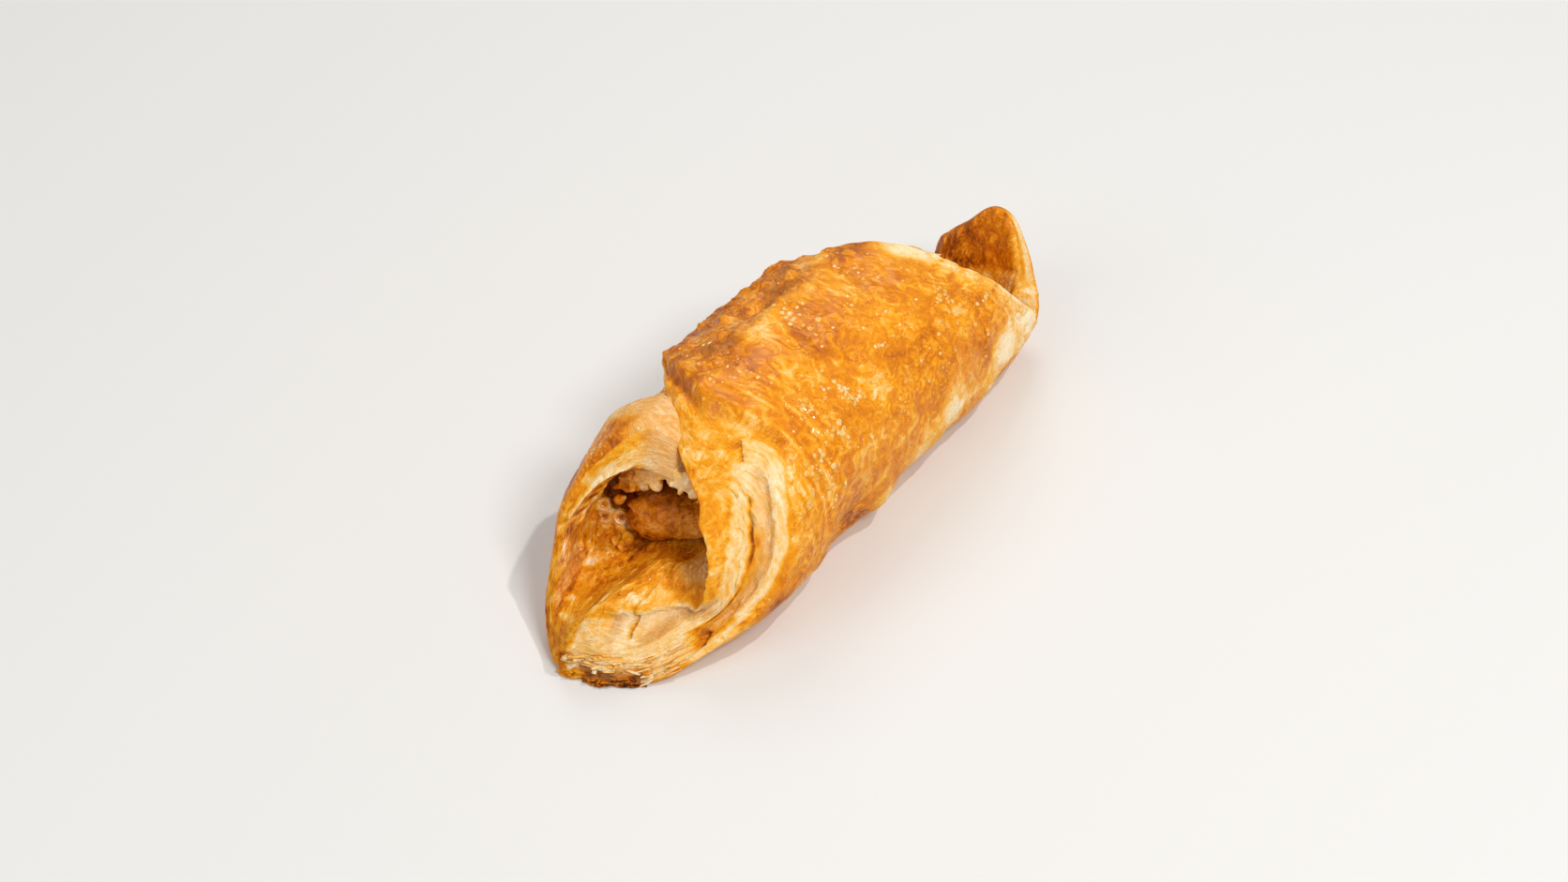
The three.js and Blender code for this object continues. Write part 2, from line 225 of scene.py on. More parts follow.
@dataclass(frozen=True)
class WrappedForm:
    """The outline of the pastry and the way the dough follows it."""

    # Station, middle of the section, half width, height.
    body: tuple = (
        (-82, -5.5, 9, 17),
        (-72, -6, 15.5, 24),
        (-60, -6.5, 21, 33),
        (-45, -6, 25.5, 40.5),
        (-25, -4.5, 27.5, 43),
        (0, -3.5, 27, 43),
        (20, -3, 27, 42),
        (35, -4, 26, 40),
        (48, -5.5, 23.5, 36),
        (60, -7.5, 18.5, 29),
        (72, -8.5, 16, 24),
        (98, -8.5, 19, 24),
    )
    # Turn, station of the crust, station of the inside, round the mouth.
    near_edge: tuple = (
        (-205, -26, -36),
        (-180, -37, -43),
        (-165, -41, -46),
        (-150, -47.5, -47),
        (-135, -52.5, -49),
        (-120, -58, -52),
        (-105, -61.5, -57),
        (-90, -67, -66),
        (-60, -75, -73),
        (-30, -78.5, -75),
        (0, -78.5, -71),
        (20, -77, -68),
        (40, -74, -63.4),
        (60, -66, -57.6),
        (75, -55, -57),
        (95, -43, -57),
        (120, -36.5, -54),
        (150, -31, -49.5),
        (165, -32.5, -46.5),
        (180, -33.4, -42.6),
        (200, -29, -34),
        (219, -24.4, -26),
        (234, -17, -18),
    )
    # The same at the far end.
    far_edge: tuple = (
        (-205, 36, 34),
        (-180, 45, 43),
        (-150, 54, 52),
        (-120, 60, 60),
        (-90, 69, 69),
        (-65, 80, 80),
        (-45, 83.5, 83.5),
        (-28, 86.5, 86.5),
        (0, 93, 93),
        (28, 85, 85),
        (45, 79, 79),
        (65, 75, 75),
        (85, 68, 68),
        (105, 60, 59),
        (130, 52.5, 51),
        (155, 46, 44.5),
        (180, 41, 39.5),
        (200, 31, 30),
        (219, 20, 19),
        (234, 4, 3),
    )
    # Turn, thickness of the puffed dough.
    thickness: tuple = (
        (-205, 9),
        (-180, 9),
        (-150, 7.5),
        (-120, 6),
        (-90, 4.5),
        (-72, 5),
        (-58, 8.5),
        (-42, 12),
        (-10, 15),
        (20, 16),
        (50, 15),
        (62, 13.2),
        (76, 9.8),
        (150, 9),
        (165, 8.5),
        (180, 7.5),
        (200, 6.8),
        (234, 6),
    )
    bumps: tuple[Feature, ...] = (
        Feature(-19, 72, 8, 16, -2.5),  # waist behind the mouth
        Feature(-4, 62, 5, 14, 1.6),  # tab at the base
        Feature(3, 204, 9, 7, -2.4),  # sunken blister
        Feature(4, 189, 12, 7, 1.2),  # ridge above it
        Feature(26, 214, 12, 14, -0.8),  # fallen shoulder
    )
    floor_hollow: float = 0.2
    far_thinning: float = 0.75
    section_middle: float = 20.0
    roundness: float = 2.35
    sag: float = 1.12
    base_dip: float = 2.2
    arch_step: Step = Step(5, (-120, -150))
    tip_step: Step = Step(3, (-170, -205))
    wall_step: Step = Step(5, (-60, -110))
    far_bend: tuple[float, float] = (52, 80)
    far_bend_angle: float = math.radians(74)
    shift: tuple[float, float, float] = (1.763, 4.974, 0.0)  # to the middle of the outline

    def __post_init__(self) -> None:
        """Makes the curves through the tables and the curling bottom line."""
        curves = {
            "middle": Curve(self.body, 1),
            "half_width": Curve(self.body, 2),
            "height": Curve(self.body, 3),
            "near_crust": Curve(self.near_edge, 1),
            "near_inside": Curve(self.near_edge, 2),
            "far_crust": Curve(self.far_edge, 1),
            "far_inside": Curve(self.far_edge, 2),
            "full_thickness": Curve(self.thickness, 1),
        }
        for name, curve in curves.items():
            object.__setattr__(self, name, curve)
        step = 0.25
        stations = np.arange(self.far_bend[0], self.body[-1][0] + step, step)
        slopes = self.far_bend_angle * rise(*self.far_bend, stations[:-1] + step / 2)
        x = self.far_bend[0] + np.concatenate([[0], np.cumsum(np.cos(slopes) * step)])
        z = np.concatenate([[0], np.cumsum(np.sin(slopes) * step)])
        object.__setattr__(self, "bottom_line", (stations, x, z))

    def broad_relief(self, station: Array, turn: Array) -> Array:
        """The bumps and hollows that the whole crust has, mm outwards."""
        total = 0.5 * np.sin(station / 9 + turn / 27) * np.sin(turn / 21 + 1)
        total = total + 0.35 * np.sin(station / 4.7 - turn / 13 + 2) * np.sin(station / 11 + turn / 33)
        for bump in self.bumps:
            total = total + bump.strength(station, turn)
        return total * rise(32, 52, np.abs(turn))

    def place(self, station: Array, turn: Array, depth: Array) -> Array:
        """Point of the wrapped dough.

        Args:
            station: mm along the pastry.
            turn: degrees round it.
            depth: mm below the outline, towards the middle of the section.

        Returns:
            Points in mm, one row each.
        """
        station, turn, depth = np.broadcast_arrays(station, turn, depth)
        angle = np.radians(turn)
        power = 2 / self.roundness
        sine, cosine = np.sin(angle), np.cos(angle)
        across = -self.half_width(station) * np.sign(sine) * np.abs(sine) ** power
        climb = 0.5 - 0.5 * np.sign(cosine) * np.abs(cosine) ** power
        height = np.maximum(self.height(station) * climb**self.sag - self.base_dip, 0)
        inwards = depth / np.hypot(across, self.section_middle - height)
        y = self.middle(station) + across * (1 - inwards)
        lift = np.maximum(height + (self.section_middle - height) * inwards, 0)
        bent = fall(55, 105, np.abs(turn)) * (station > self.far_bend[0])
        slope = self.far_bend_angle * rise(*self.far_bend, station)
        knots, line_x, line_z = self.bottom_line
        x = mix(station, np.interp(station, knots, line_x) - np.sin(slope) * lift, bent)
        z = mix(lift, np.interp(station, knots, line_z) + np.cos(slope) * lift, bent)
        return np.stack([x, y, z], -1) + np.array(self.shift)

    def sunk(self, station: Array, turn: Array) -> Array:
        """How far below the outline the left corner lies under the cover, mm."""
        start = mix(-40.0, -52.0, rise(-150, -180, turn))
        along = rise(0, 14, station - start) * (1 - 0.6 * rise(32, 46, station))
        wall = self.wall_step.at(turn) * rise(-40, -24, station)
        return np.maximum((self.arch_step.at(turn) + self.tip_step.at(turn)) * along, wall)

    def dough_thickness(self, station: Array, turn: Array, from_edge: Array) -> Array:
        """Thickness of the puffed dough, mm."""
        floor = 1 - self.floor_hollow * rise(8, 26, from_edge) * bell(turn, 0, 50)
        corner = 1 - self.far_thinning * rise(48, 74, station) * bell(turn, 0, 90)
        return self.full_thickness(turn) * floor * corner


FORM = WrappedForm()


# ---- Mesh helpers -------------------------------------------------------------


def add_object(name: str, data: bpy.types.ID) -> bpy.types.Object:
    """Puts a new object with the data into the scene."""
    made = bpy.data.objects.new(name, data)
    bpy.context.scene.collection.objects.link(made)
    return made


def finish_mesh(
    name: str, bm: bmesh.types.BMesh, points: Array, marks: dict[str, Array]
) -> bpy.types.Object:
    """Writes a laid-out mesh as an object in metres, with its attributes.

    Args:
        name: the piece's name.
        bm: the mesh; it is freed.
        points: place of each vertex in mm.
        marks: attributes by name, one number or one vector for each vertex.

    Returns:
        The new object, smooth shaded, at the origin.
    """
    mesh = bpy.data.meshes.new(name)
    bm.to_mesh(mesh)
    bm.free()
    mesh.vertices.foreach_set("co", (np.asarray(points) * MM).ravel())
    for mark, values in marks.items():
        kind, key = ("FLOAT_VECTOR", "vector") if values.ndim == 2 else ("FLOAT", "value")
        attribute = mesh.attributes.new(mark, kind, "POINT")
        attribute.data.foreach_set(key, values.astype(np.float32).ravel())
    mesh.shade_smooth()
    mesh.update()
    return add_object(name, mesh)


def vertex_places(bm: bmesh.types.BMesh) -> Array:
    """Coordinates of all vertices of a mesh, one row each."""
    return np.array([v.co[:] for v in bm.verts])


def close_up(bm: bmesh.types.BMesh, points: Array) -> Array:
    """Puts the vertices at the points, joins those that meet and returns the places left."""
    for vert, point in zip(bm.verts, points):
        vert.co = point
    bmesh.ops.remove_doubles(bm, verts=bm.verts[:], dist=HAIR)
    bmesh.ops.recalc_face_normals(bm, faces=bm.faces[:])
    return vertex_places(bm)


def add_ball(bm: bmesh.types.BMesh, matrix: Matrix, subdivisions: int = 2) -> None:
    """Adds a unit ball that the matrix places and stretches."""
    bmesh.ops.create_icosphere(bm, subdivisions=subdivisions, radius=1.0, matrix=matrix)


def surface_marks(
    points: Array, bake: Array, gloss: float = 0.2, wet: Array = 0.0
) -> dict[str, Array]:
    """The attributes of a loose piece of dough or caramel whose grain is its own place.

    Args:
        points: place of each vertex in mm.
        bake: browning of each vertex.
        gloss: amount of egg wash.
        wet: amount of melted sugar, one number for all or one for each vertex.

    Returns:
        Attributes by name.
    """
    whole = np.ones(len(points))
    return {"bake": whole * bake, "gloss": whole * gloss, "wet": whole * wet,
            "cut": whole * 0.5, "tan_and_shade": whole * 0, "grain": points}


def fuse(bm: bmesh.types.BMesh, voxel: float, smoothing: int) -> bmesh.types.BMesh:
    """Joins overlapping closed shapes into one skin, as melted or torn dough is.

    Args:
        bm: the shapes; it is freed.
        voxel: size of the smallest detail kept, mm.
        smoothing: rounds of smoothing.

    Returns:
        A new closed mesh.
    """
    mesh = bpy.data.meshes.new("joined")
    bm.to_mesh(mesh)
    bm.free()
    piece = add_object("joined", mesh)
    join = piece.modifiers.new("join", "REMESH")
    join.mode = "VOXEL"
    join.voxel_size = voxel
    skin = bmesh.new()
    skin.from_object(piece, bpy.context.evaluated_depsgraph_get())
    bpy.data.objects.remove(piece)
    bpy.data.meshes.remove(mesh)
    for _ in range(smoothing):
        bmesh.ops.smooth_vert(
            skin, verts=skin.verts[:], factor=0.5, use_axis_x=True, use_axis_y=True, use_axis_z=True
        )
    bmesh.ops.recalc_face_normals(skin, faces=skin.faces[:])
    return skin


def turned_frame(ahead: Array, outwards: Array, place: Array, scale: Sequence[float]) -> Matrix:
    """Matrix that puts a unit shape at a place.

    Args:
        ahead: direction of the shape's x.
        outwards: direction of the shape's z, roughly.
        place: the shape's middle, mm.
        scale: the shape's half sizes along x, y and z, mm.

    Returns:
        The matrix.
    """
    x = Vector(ahead).normalized()
    y = Vector(outwards).cross(x).normalized()
    z = x.cross(y)
    axes = Matrix((x, y, z)).transposed().to_4x4()
    return Matrix.Translation(Vector(place)) @ axes @ Matrix.Diagonal((*scale, 1.0))


# ---- The dough ------------------------------------------------------------------


@dataclass(frozen=True)
class Crevice:
    """The gap where the cover's outer layer lifts off the inner ones.

    Its border towards the inside is sharp, the slope towards the crust is gentle.
    """

    # Turn, level of the sharp border.
    border: tuple = (
        (58, 0.3),
        (66, 0.4),
        (76, 0.455),
        (100, 0.47),
        (135, 0.455),
        (150, 0.41),
        (162, 0.34),
    )
    opens: tuple[float, float] = (62, 72)
    closes: tuple[float, float] = (126, 156)
    depth: float = 3.8

    def edge(self, turn: Array) -> Array:
        """Level of the sharp border."""
        return Curve(self.border)(turn)

    def back(self, turn: Array, level: Array) -> Array:
        """How far the gap goes back from the cut edge, mm."""
        edge = self.edge(turn)
        opened = rise(*self.opens, turn) * fall(*self.closes, turn)
        slope = rise(0.22, 0.95, level / edge) ** 1.3
        return self.depth * opened * slope * fall(edge - 0.022, edge + 0.004, level)

    def line(self, turn: Array, level: Array) -> Array:
        """1 along the fine crack beside the sharp border and where it turns outwards below."""
        width = 0.011 + 0.014 * bell(turn, 94, 8) + 0.006 * bell(turn, 110, 5)
        along = bell(level, self.edge(turn) + 0.012, width) * band(66, 132, 10, turn)
        hook = bell(turn, 65.5, 2.0) * band(0.14, 0.44, 0.06, level)
        return np.maximum(along, hook)


@dataclass(frozen=True)
class Points:
    """Points of the laid-out sheet, as arrays of equal length.

    Args:
        turn: degrees round the pastry.
        along: part of the way from the mouth's edge to the far edge.
        level: part of the thickness, 0 at the crust.
        near: station of the mouth's edge there, mm.
        far: station of the far edge there, mm.
        station: mm along the pastry.
        depth: mm below the crust.
    """

    turn: Array
    along: Array
    level: Array
    near: Array
    far: Array
    station: Array
    depth: Array


@dataclass
class DoughSheet:
    """The one sheet of laminated dough, wrapped, puffed and baked."""

    first_turn: float = -205.0
    last_turn: float = 234.0
    turns: int = 290
    columns: int = 180
    near_rows: int = 48
    far_rows: int = 8
    row_focus: float = 0.47
    row_crowding: float = 0.5
    layers: float = 11.0
    crevice: Crevice = Crevice()
    edge_bulge: float = 1.4
    rolled_bulge: float = 0.8
    edge_round: float = 1.6
    rolled_round: float = 3.4
    rolled_drop: float = 2.2
    corner_fill: float = 2.6
    # Part of the way along between which the filled middle hides the inside.
    hidden: tuple[float, float] = (0.25, 0.79)
    # Turn, level where the gold of the cover's inner border begins.
    gold_border: tuple = (
        (78, 0.9),
        (88, 0.82),
        (100, 0.76),
        (120, 0.71),
        (138, 0.65),
        (150, 0.52),
        (158, 0.25),
        (168, -0.1),
    )
    noise: Unevenness = field(default_factory=lambda: Unevenness(3))
    fine: Unevenness = field(default_factory=lambda: Unevenness(5))

    crust_patches: tuple[Feature, ...] = (
        Feature(-61, 68, 9, 9, -0.34),  # unwashed dough right of the mouth
        Feature(-46, 72, 4, 7, 0.1),  # wash that ran down beside it
        Feature(-15, 62, 7, 9, 0.22),  # brown tab at the base
        Feature(-4, 66, 5, 7, -0.32),  # pale strip behind it
        Feature(5, 76, 6, 8, -0.12),
        Feature(17, 78, 9, 13, -0.28),  # pale patch low on the right side
        Feature(22, 90, 5, 10, -0.2),
        Feature(41, 84, 7, 17, -0.3, 0.1),
        Feature(55, 94, 13, 15, -0.34),
        Feature(38, 175, 4, 6, -0.22),  # pale spot by the far seam
        Feature(22, 203, 3.5, 7, -0.3),  # pale blister on the far shoulder
        Feature(31, 189, 6, 6, 0.2),  # browned bump by the far seam
        Feature(0, 187, 12, 4, -0.14),  # paler ridge above the hollow
        Feature(-10, 204, 8, 6, -0.12),
        Feature(14, 196, 8, 7, -0.12),
    )

    def lay_out(self) -> tuple[bmesh.types.BMesh, Points]:
        """Lays the sheet out flat and closed.

        Returns:
            The mesh, and where its vertices lie on the sheet.
        """
        bm = bmesh.new()
        bmesh.ops.create_grid(bm, x_segments=self.turns, y_segments=self.columns, size=0.5)
        crust = bm.faces[:]
        copied = bmesh.ops.duplicate(bm, geom=bm.verts[:] + bm.edges[:] + crust)["geom"]
        inside_verts = [g for g in copied if isinstance(g, bmesh.types.BMVert)]
        bmesh.ops.translate(bm, verts=inside_verts, vec=(0, 0, 1))
        bmesh.ops.reverse_faces(bm, faces=crust)
        bmesh.ops.bridge_loops(bm, edges=[e for e in bm.edges if e.is_boundary])
        upright = [e for e in bm.edges if abs(e.verts[0].co.z - e.verts[1].co.z) > 0.5]
        near = [e for e in upright if e.verts[0].co.y < -SHEET_SIDE and abs(e.verts[0].co.x) < SHEET_SIDE]
        mouth = set(near)
        others = [e for e in upright if e not in mouth]
        bmesh.ops.subdivide_edges(bm, edges=near, cuts=self.near_rows - 1, use_grid_fill=True)
        bmesh.ops.subdivide_edges(bm, edges=others, cuts=self.far_rows - 1, use_grid_fill=True)
        self.thin_out_hidden(bm)
        bmesh.ops.triangulate(bm, faces=[f for f in bm.faces if len(f.verts) > 4])
        laid = vertex_places(bm)
        turn = mix(self.first_turn, self.last_turn, np.clip(laid[:, 0] + 0.5, 0, 1))
        along = np.clip(laid[:, 1] + 0.5, 0, 1)
        row = np.clip(laid[:, 2], 0, 1)
        circle = 2 * np.pi
        crowd = np.sin(circle * (row - self.row_focus)) + np.sin(circle * self.row_focus)
        level = np.where(along <= 0, row - self.row_crowding / circle * crowd, row)
        return bm, self.locate(turn, along, np.clip(level, 0, 1))

    def thin_out_hidden(self, bm: bmesh.types.BMesh) -> None:
        """Joins the faces of the inside that the filled middle hides into long ones."""
        first, last = self.hidden
        cross = []
        for edge in bm.edges:
            one, two = edge.verts[0].co, edge.verts[1].co
            level_with = min(one.z, two.z) >= 0.999 and abs(one.y - two.y) <= HAIR
            if level_with and first < one.y + 0.5 < last:
                cross.append(edge)
        bmesh.ops.dissolve_edges(bm, edges=cross, use_verts=True)

    @staticmethod
    def locate(turn: Array, along: Array, level: Array) -> Points:
        """Works out where points of the sheet lie along the pastry and below its crust."""
        near = mix(FORM.near_crust(turn), FORM.near_inside(turn), level)
        far = mix(FORM.far_crust(turn), FORM.far_inside(turn), level)
        station = mix(near, far, along)
        depth = level * FORM.dough_thickness(station, turn, station - near)
        return Points(turn, along, level, near, far, station, depth)

    @staticmethod
    def rolled(turn: Array) -> Array:
        """1 where the cover's cut edge is rolled over and as golden as the crust."""
        return band(160, 215, 16, turn)

    @staticmethod
    def caramel(station: Array, turn: Array) -> Array:
        """1 on the inside where melted sugar runs down the mouth's left wall."""
        return band(-97, -50, 9, turn) * band(-58, -34, 5, station)

    @staticmethod
    def wall_crease(station: Array, turn: Array, width: float) -> Array:
        """The crease between the mouth's left wall and its floor."""
        return bell(turn - 0.364 * (station + 72), -70, width) * band(-73, -51, 2.5, station)

    def leaves(self, p: Points) -> tuple[Array, Array]:
        """The separate layers of the mouth's cut edge.

        Args:
            p: points of the sheet.

        Returns:
            How far each layer stands out, from -1 to 1, and 1 in the grooves between.
        """
        wobble = self.noise.layered(p.turn / 13, p.depth / 5, 3.3)
        sheets = p.level * self.layers + (0.7 + 1.0 * fall(-100, -90, p.turn)) * wobble
        number = np.floor(sheets)
        standing = self.noise(p.turn / 10, number * 3.7, 1.0)
        groove = 1 - band(0.18, 0.82, 0.18, sheets - number)
        return standing, groove

    def rim_relief(self, p: Points) -> Array:
        """Layers, crevice and holes of the mouth's cut edge, mm back from the plain edge."""
        turn, level = p.turn, p.level
        round_edge = np.sqrt(np.clip(1 - (2 * level - 1) ** 2, 0, 1))
        standing, groove = self.leaves(p)
        rolled = self.rolled(turn)
        lip = band(-24, 60, 14, turn)
        sides = band(76, 142, 10, turn)
        left = band(-185, -92, 10, turn)
        edge = self.crevice.edge(turn)
        inner_roll = sides * rise(0.62, 0.7, level)
        strength = 0.3 + 0.9 * lip * fall(0.3, 0.42, level) - 0.1 * left
        strength = strength + 0.35 * sides * band(edge + 0.01, 0.68, 0.03, level)
        strength = strength * (1 - 0.75 * lip * band(0.46, 0.84, 0.06, level))
        strength = strength * (1 - 0.7 * np.maximum(rolled, inner_roll))
        strength = strength * (1 - 0.7 * sides * fall(0.3, 0.42, level))
        layers = strength * (0.5 * (1 - standing) + 0.55 * groove)
        fibres = (0.13 + 0.12 * sides) * self.fine.layered(turn / 3.4, p.depth / 0.6, 1.7)
        cells = 0.3 * self.fine.layered(turn / 5.5, p.depth / 1.7, 6.0) * band(76, 185, 8, turn)
        folds = 0.6 * self.noise.layered(turn / 9, p.depth / 3.2, 31.0) * lip * rise(0.36, 0.5, level)
        bulge = (self.edge_bulge + self.rolled_bulge * rolled) * round_edge
        bulge = bulge + 1.3 * sides * bell(level, 0.86, 0.16) + 0.5 * sides * bell(level, 0.13, 0.12)
        strip = 1.1 * bell(level - self.strip_level(turn), 0, 0.07) * band(-148, -114, 5, turn)
        ledge = (1.5 * bell(level, 0.8, 0.07) - 0.8 * bell(level, 0.93, 0.05)) * band(14, 84, 10, turn)
        slit = 1.8 * self.slit(turn, level)
        hole = 2.6 * bell(turn, 64.5, 2.6) * bell(level, 0.22, 0.07)
        pits = 1.5 * self.folds(turn, level)
        burnt = 0.9 * fall(0.08, 0.2, level) * band(-6, 46, 10, turn) * self.fine(turn / 3, p.depth / 1.5)
        gap = self.crevice.back(turn, level)
        cuts = slit + hole + pits + gap + 0.9 * self.crevice.line(turn, level) + ledge
        rough = (layers + fibres + cells + folds + burnt) * np.minimum(round_edge * 1.6, 1)
        return rough - bulge - strip + cuts

    @staticmethod
    def folds(turn: Array, level: Array) -> Array:
        """1 in the short deep folds where the crevice closes near the crest."""
        return bell(level, 0.12 + 0.026 * (161 - turn), 0.022) * band(154, 162, 2, turn)

    def slit(self, turn: Array, level: Array) -> Array:
        """1 in the short crack down the lip from the floor's edge."""
        path = turn - 34 + 5 * (level - 0.8) + 1.6 * self.fine(level * 9, 3.0)
        return bell(path, 0, 1.3) * band(0.62, 1.2, 0.06, level)

    @staticmethod
    def strip_level(turn: Array) -> Array:
        """Level of the pale strip that peels off the left side of the arch."""
        return Curve(((-155, 0.72), (-140, 0.6), (-125, 0.5), (-112, 0.42)))(turn)

    def crust_relief(self, station: Array, turn: Array) -> Array:
        """Fine unevenness of the outer crust on top of the broad one, mm outwards."""
        arc = turn * ARC
        puffs = 0.26 * self.noise.layered(station / 4.6, arc / 4.6, 0.5)
        pebbles = 0.13 * self.fine.layered(station / 1.8, arc / 1.8, 2.5, 2)
        shoulder = band(188, 240, 8, turn) * band(-30, 26, 8, station)
        crumple = 0.7 * (self.noise.ridged(station / 7, arc / 3.2, 6.0) - 0.45) * shoulder
        crumple = crumple + 0.4 * (self.noise.ridged(station / 3.4, arc / 2.1, 9.0) - 0.4) * shoulder
        creases = -0.7 * self.fan_creases(station, turn)
        streaks = band(84, 165, 10, turn) * fall(-20, 4, station)
        brushed = 0.15 * self.fine.layered(arc / 8, station / 0.95 + arc / 9, 7.0, 2) * streaks
        return (puffs + pebbles + crumple + creases + brushed) * rise(36, 54, np.abs(turn))

    def fan_creases(self, station: Array, turn: Array) -> Array:
        """0 to 1 in the creases that fan out from the far edge."""
        from_far = FORM.far_crust(turn) - station
        fan = band(84, 170, 10, turn) * fall(5, 12, from_far)
        return self.noise.ridged(turn / 6.0 + from_far / 14, station / 30, 4.0) ** 2 * fan

    def inside_relief(self, station: Array, turn: Array) -> Array:
        """Lumps of the mouth's floor and walls and of the far corner, mm inwards."""
        arc = turn * ARC
        mouth = fall(-40, -30, station)
        caramel = self.caramel(station, turn)
        lumps = 0.5 * self.noise.layered(station / 5, arc / 5, 11.0) * mouth
        lumps = lumps + 0.55 * np.maximum(self.fine.layered(station / 2.6, turn / 6.5, 41.0), 0) * mouth
        bubbles = 1.1 * np.maximum(self.fine(station / 2.2, arc / 2.2, 12.0), 0) ** 0.7
        crust = 0.16 * self.fine.layered(station / 1.7, arc / 1.7, 14.0, 2) * mouth
        far = 0.35 * self.noise.layered(station / 3, arc / 3, 13.0) * rise(66, 74, station)
        fold = -0.5 * self.far_fold(station, turn, 0.9)
        behind = station - FORM.near_inside(turn)
        corner = self.corner_fill * band(44, 100, 16, turn) * rise(0.5, 8, behind) * fall(-42, -34, station)
        lumps = lumps + corner - 0.7 * self.slit(turn, 1.0) * fall(2, 7, behind)
        return lumps + crust + bubbles * caramel - 0.9 * self.wall_crease(station, turn, 2.0) + far + fold

    @staticmethod
    def far_fold(station: Array, turn: Array, width: float) -> Array:
        """The fold across the inside of the far corner."""
        return bell(station - 79 - 0.05 * turn, 0, width) * band(-30, 36, 12, turn)

    def crust_depth(self, station: Array, turn: Array) -> Array:
        """Depth of the outer crust below the outline, mm."""
        near, far = FORM.near_crust(turn), FORM.far_crust(turn)
        edge = np.minimum(station - near, far - station) + 1e-3
        rolled = self.rolled(turn) * fall(0, 12, station - near)
        corner = fall(0, 1, edge / (self.edge_round + self.rolled_round * rolled)) ** 2
        relief = FORM.broad_relief(station, turn) + self.crust_relief(station, turn)
        return FORM.sunk(station, turn) - relief + (0.8 + self.rolled_drop * rolled) * corner

    def crust_point(self, station: Array, turn: Array) -> Array:
        """Point on the outer crust, mm."""
        return FORM.place(station, turn, self.crust_depth(station, turn))

    def shape(self, p: Points) -> tuple[Array, dict[str, Array]]:
        """Wraps and bakes the laid-out sheet.

        Args:
            p: points of the sheet.

        Returns:
            Points in mm and the attributes of the finish.
        """
        on_rim = fall(0, 0.004, p.along)
        back = self.rim_relief(p) * on_rim
        station = p.station + back
        sunk = FORM.sunk(station, p.turn)
        crust = self.crust_depth(station, p.turn) - sunk
        inner_edge = np.minimum(station - p.near, p.far - station) + 1e-3
        sides = band(76, 185, 12, p.turn)
        corner = (0.6 + 1.0 * sides) * fall(0, 1.6 + 1.6 * sides, inner_edge) ** 2
        inwards = self.inside_relief(station, p.turn) - corner
        radial = sunk + p.depth + crust * (1 - p.level) + inwards * p.level**3
        marks = self.brown(p, station)
        marks["grain"] = np.stack([station, p.turn * ARC, p.depth], -1)
        return FORM.place(station, p.turn, radial), marks

    def brown_crust(self, station: Array, turn: Array, far: Array) -> tuple[Array, Array]:
        """Browning of the outer crust.

        Args:
            station: mm along the pastry.
            turn: degrees round it.
            far: station of the far edge.

        Returns:
            The browning, with painted shade on the shoulder, and the amount of greyish tint, which is
            painted shade and, on the shoulder, partly its own colour.
        """
        ragged = self.noise.layered(station / 5, turn / 12, 21.0)
        bake = Bake.GOLDEN + 0.08 * self.noise(station / 9, turn / 22, 22.0)
        # The shoulder, turned from the light, is browner and greyer: partly its own colour, partly painted
        # shade.
        shoulder = rise(186, 196, turn + 4 * ragged)
        wrinkles = np.clip(self.noise.layered(station / 4.5, turn / 8, 33.0), -0.8, 0.8)
        bake = bake + (0.16 + 0.1 * wrinkles) * shoulder
        for patch in self.crust_patches:
            bake = bake + patch.cover(station, turn, ragged)
        from_far = far - station + 2 * ragged
        fan = fall(3, 12, from_far) * band(90, 184, 8, turn)
        bake = bake - 0.32 * fan + 0.34 * self.fan_creases(station, turn)
        bake = bake - 0.2 * fall(0.5, 2.5, far - station + ragged) * band(110, 200, 8, turn)
        streaks = self.fine.layered(station / 1.1, turn / 24, 35.0, 2)
        beside = fall(-27, -14, station) * band(104, 172, 8, turn)
        drawn = 0.08 * fall(-22, 6, station) + 0.26 * beside
        bake = bake - drawn * np.maximum(streaks, 0) * band(84, 180, 8, turn)
        bake = bake + 0.06 * fall(78, 50, np.abs(turn))
        left = turn < 0
        side = band(-150, -112, 8, turn) * left
        bake = bake + (0.1 + 0.13 * self.noise.layered(station / 3, turn / 7, 36.0)) * side
        bake = bake + 0.09 * band(-112, -56, 10, turn)
        # Under the cover's edge the dough is unwashed and beige, with a greyish tint of painted shade.
        under = rise(-43, -39, station + 1.5 * ragged) * rise(104, 132, -turn + 14 * ragged) * left
        beige = np.clip(np.maximum(under, rise(152, 160, -turn + 2 * ragged) * left), 0, 1)
        bake = mix(bake, Bake.BEIGE, beige)
        bake = np.where((turn > 180) | left, np.minimum(bake, Bake.TOASTED + 0.05), bake)
        dull_and_shade = 0.6 * beige + shoulder * (0.34 - 0.5 * wrinkles) * fall(206, 222, turn)
        return bake, np.clip(dull_and_shade, 0, 0.85)

    @staticmethod
    def on_lip(turn: Array) -> Array:
        """1 along the lip."""
        return band(-14, 60, 10, turn)

    def recess(self, p: Points) -> Array:
        """1 down in the crevice."""
        return rise(0.3, 1.6, self.crevice.back(p.turn, p.level))

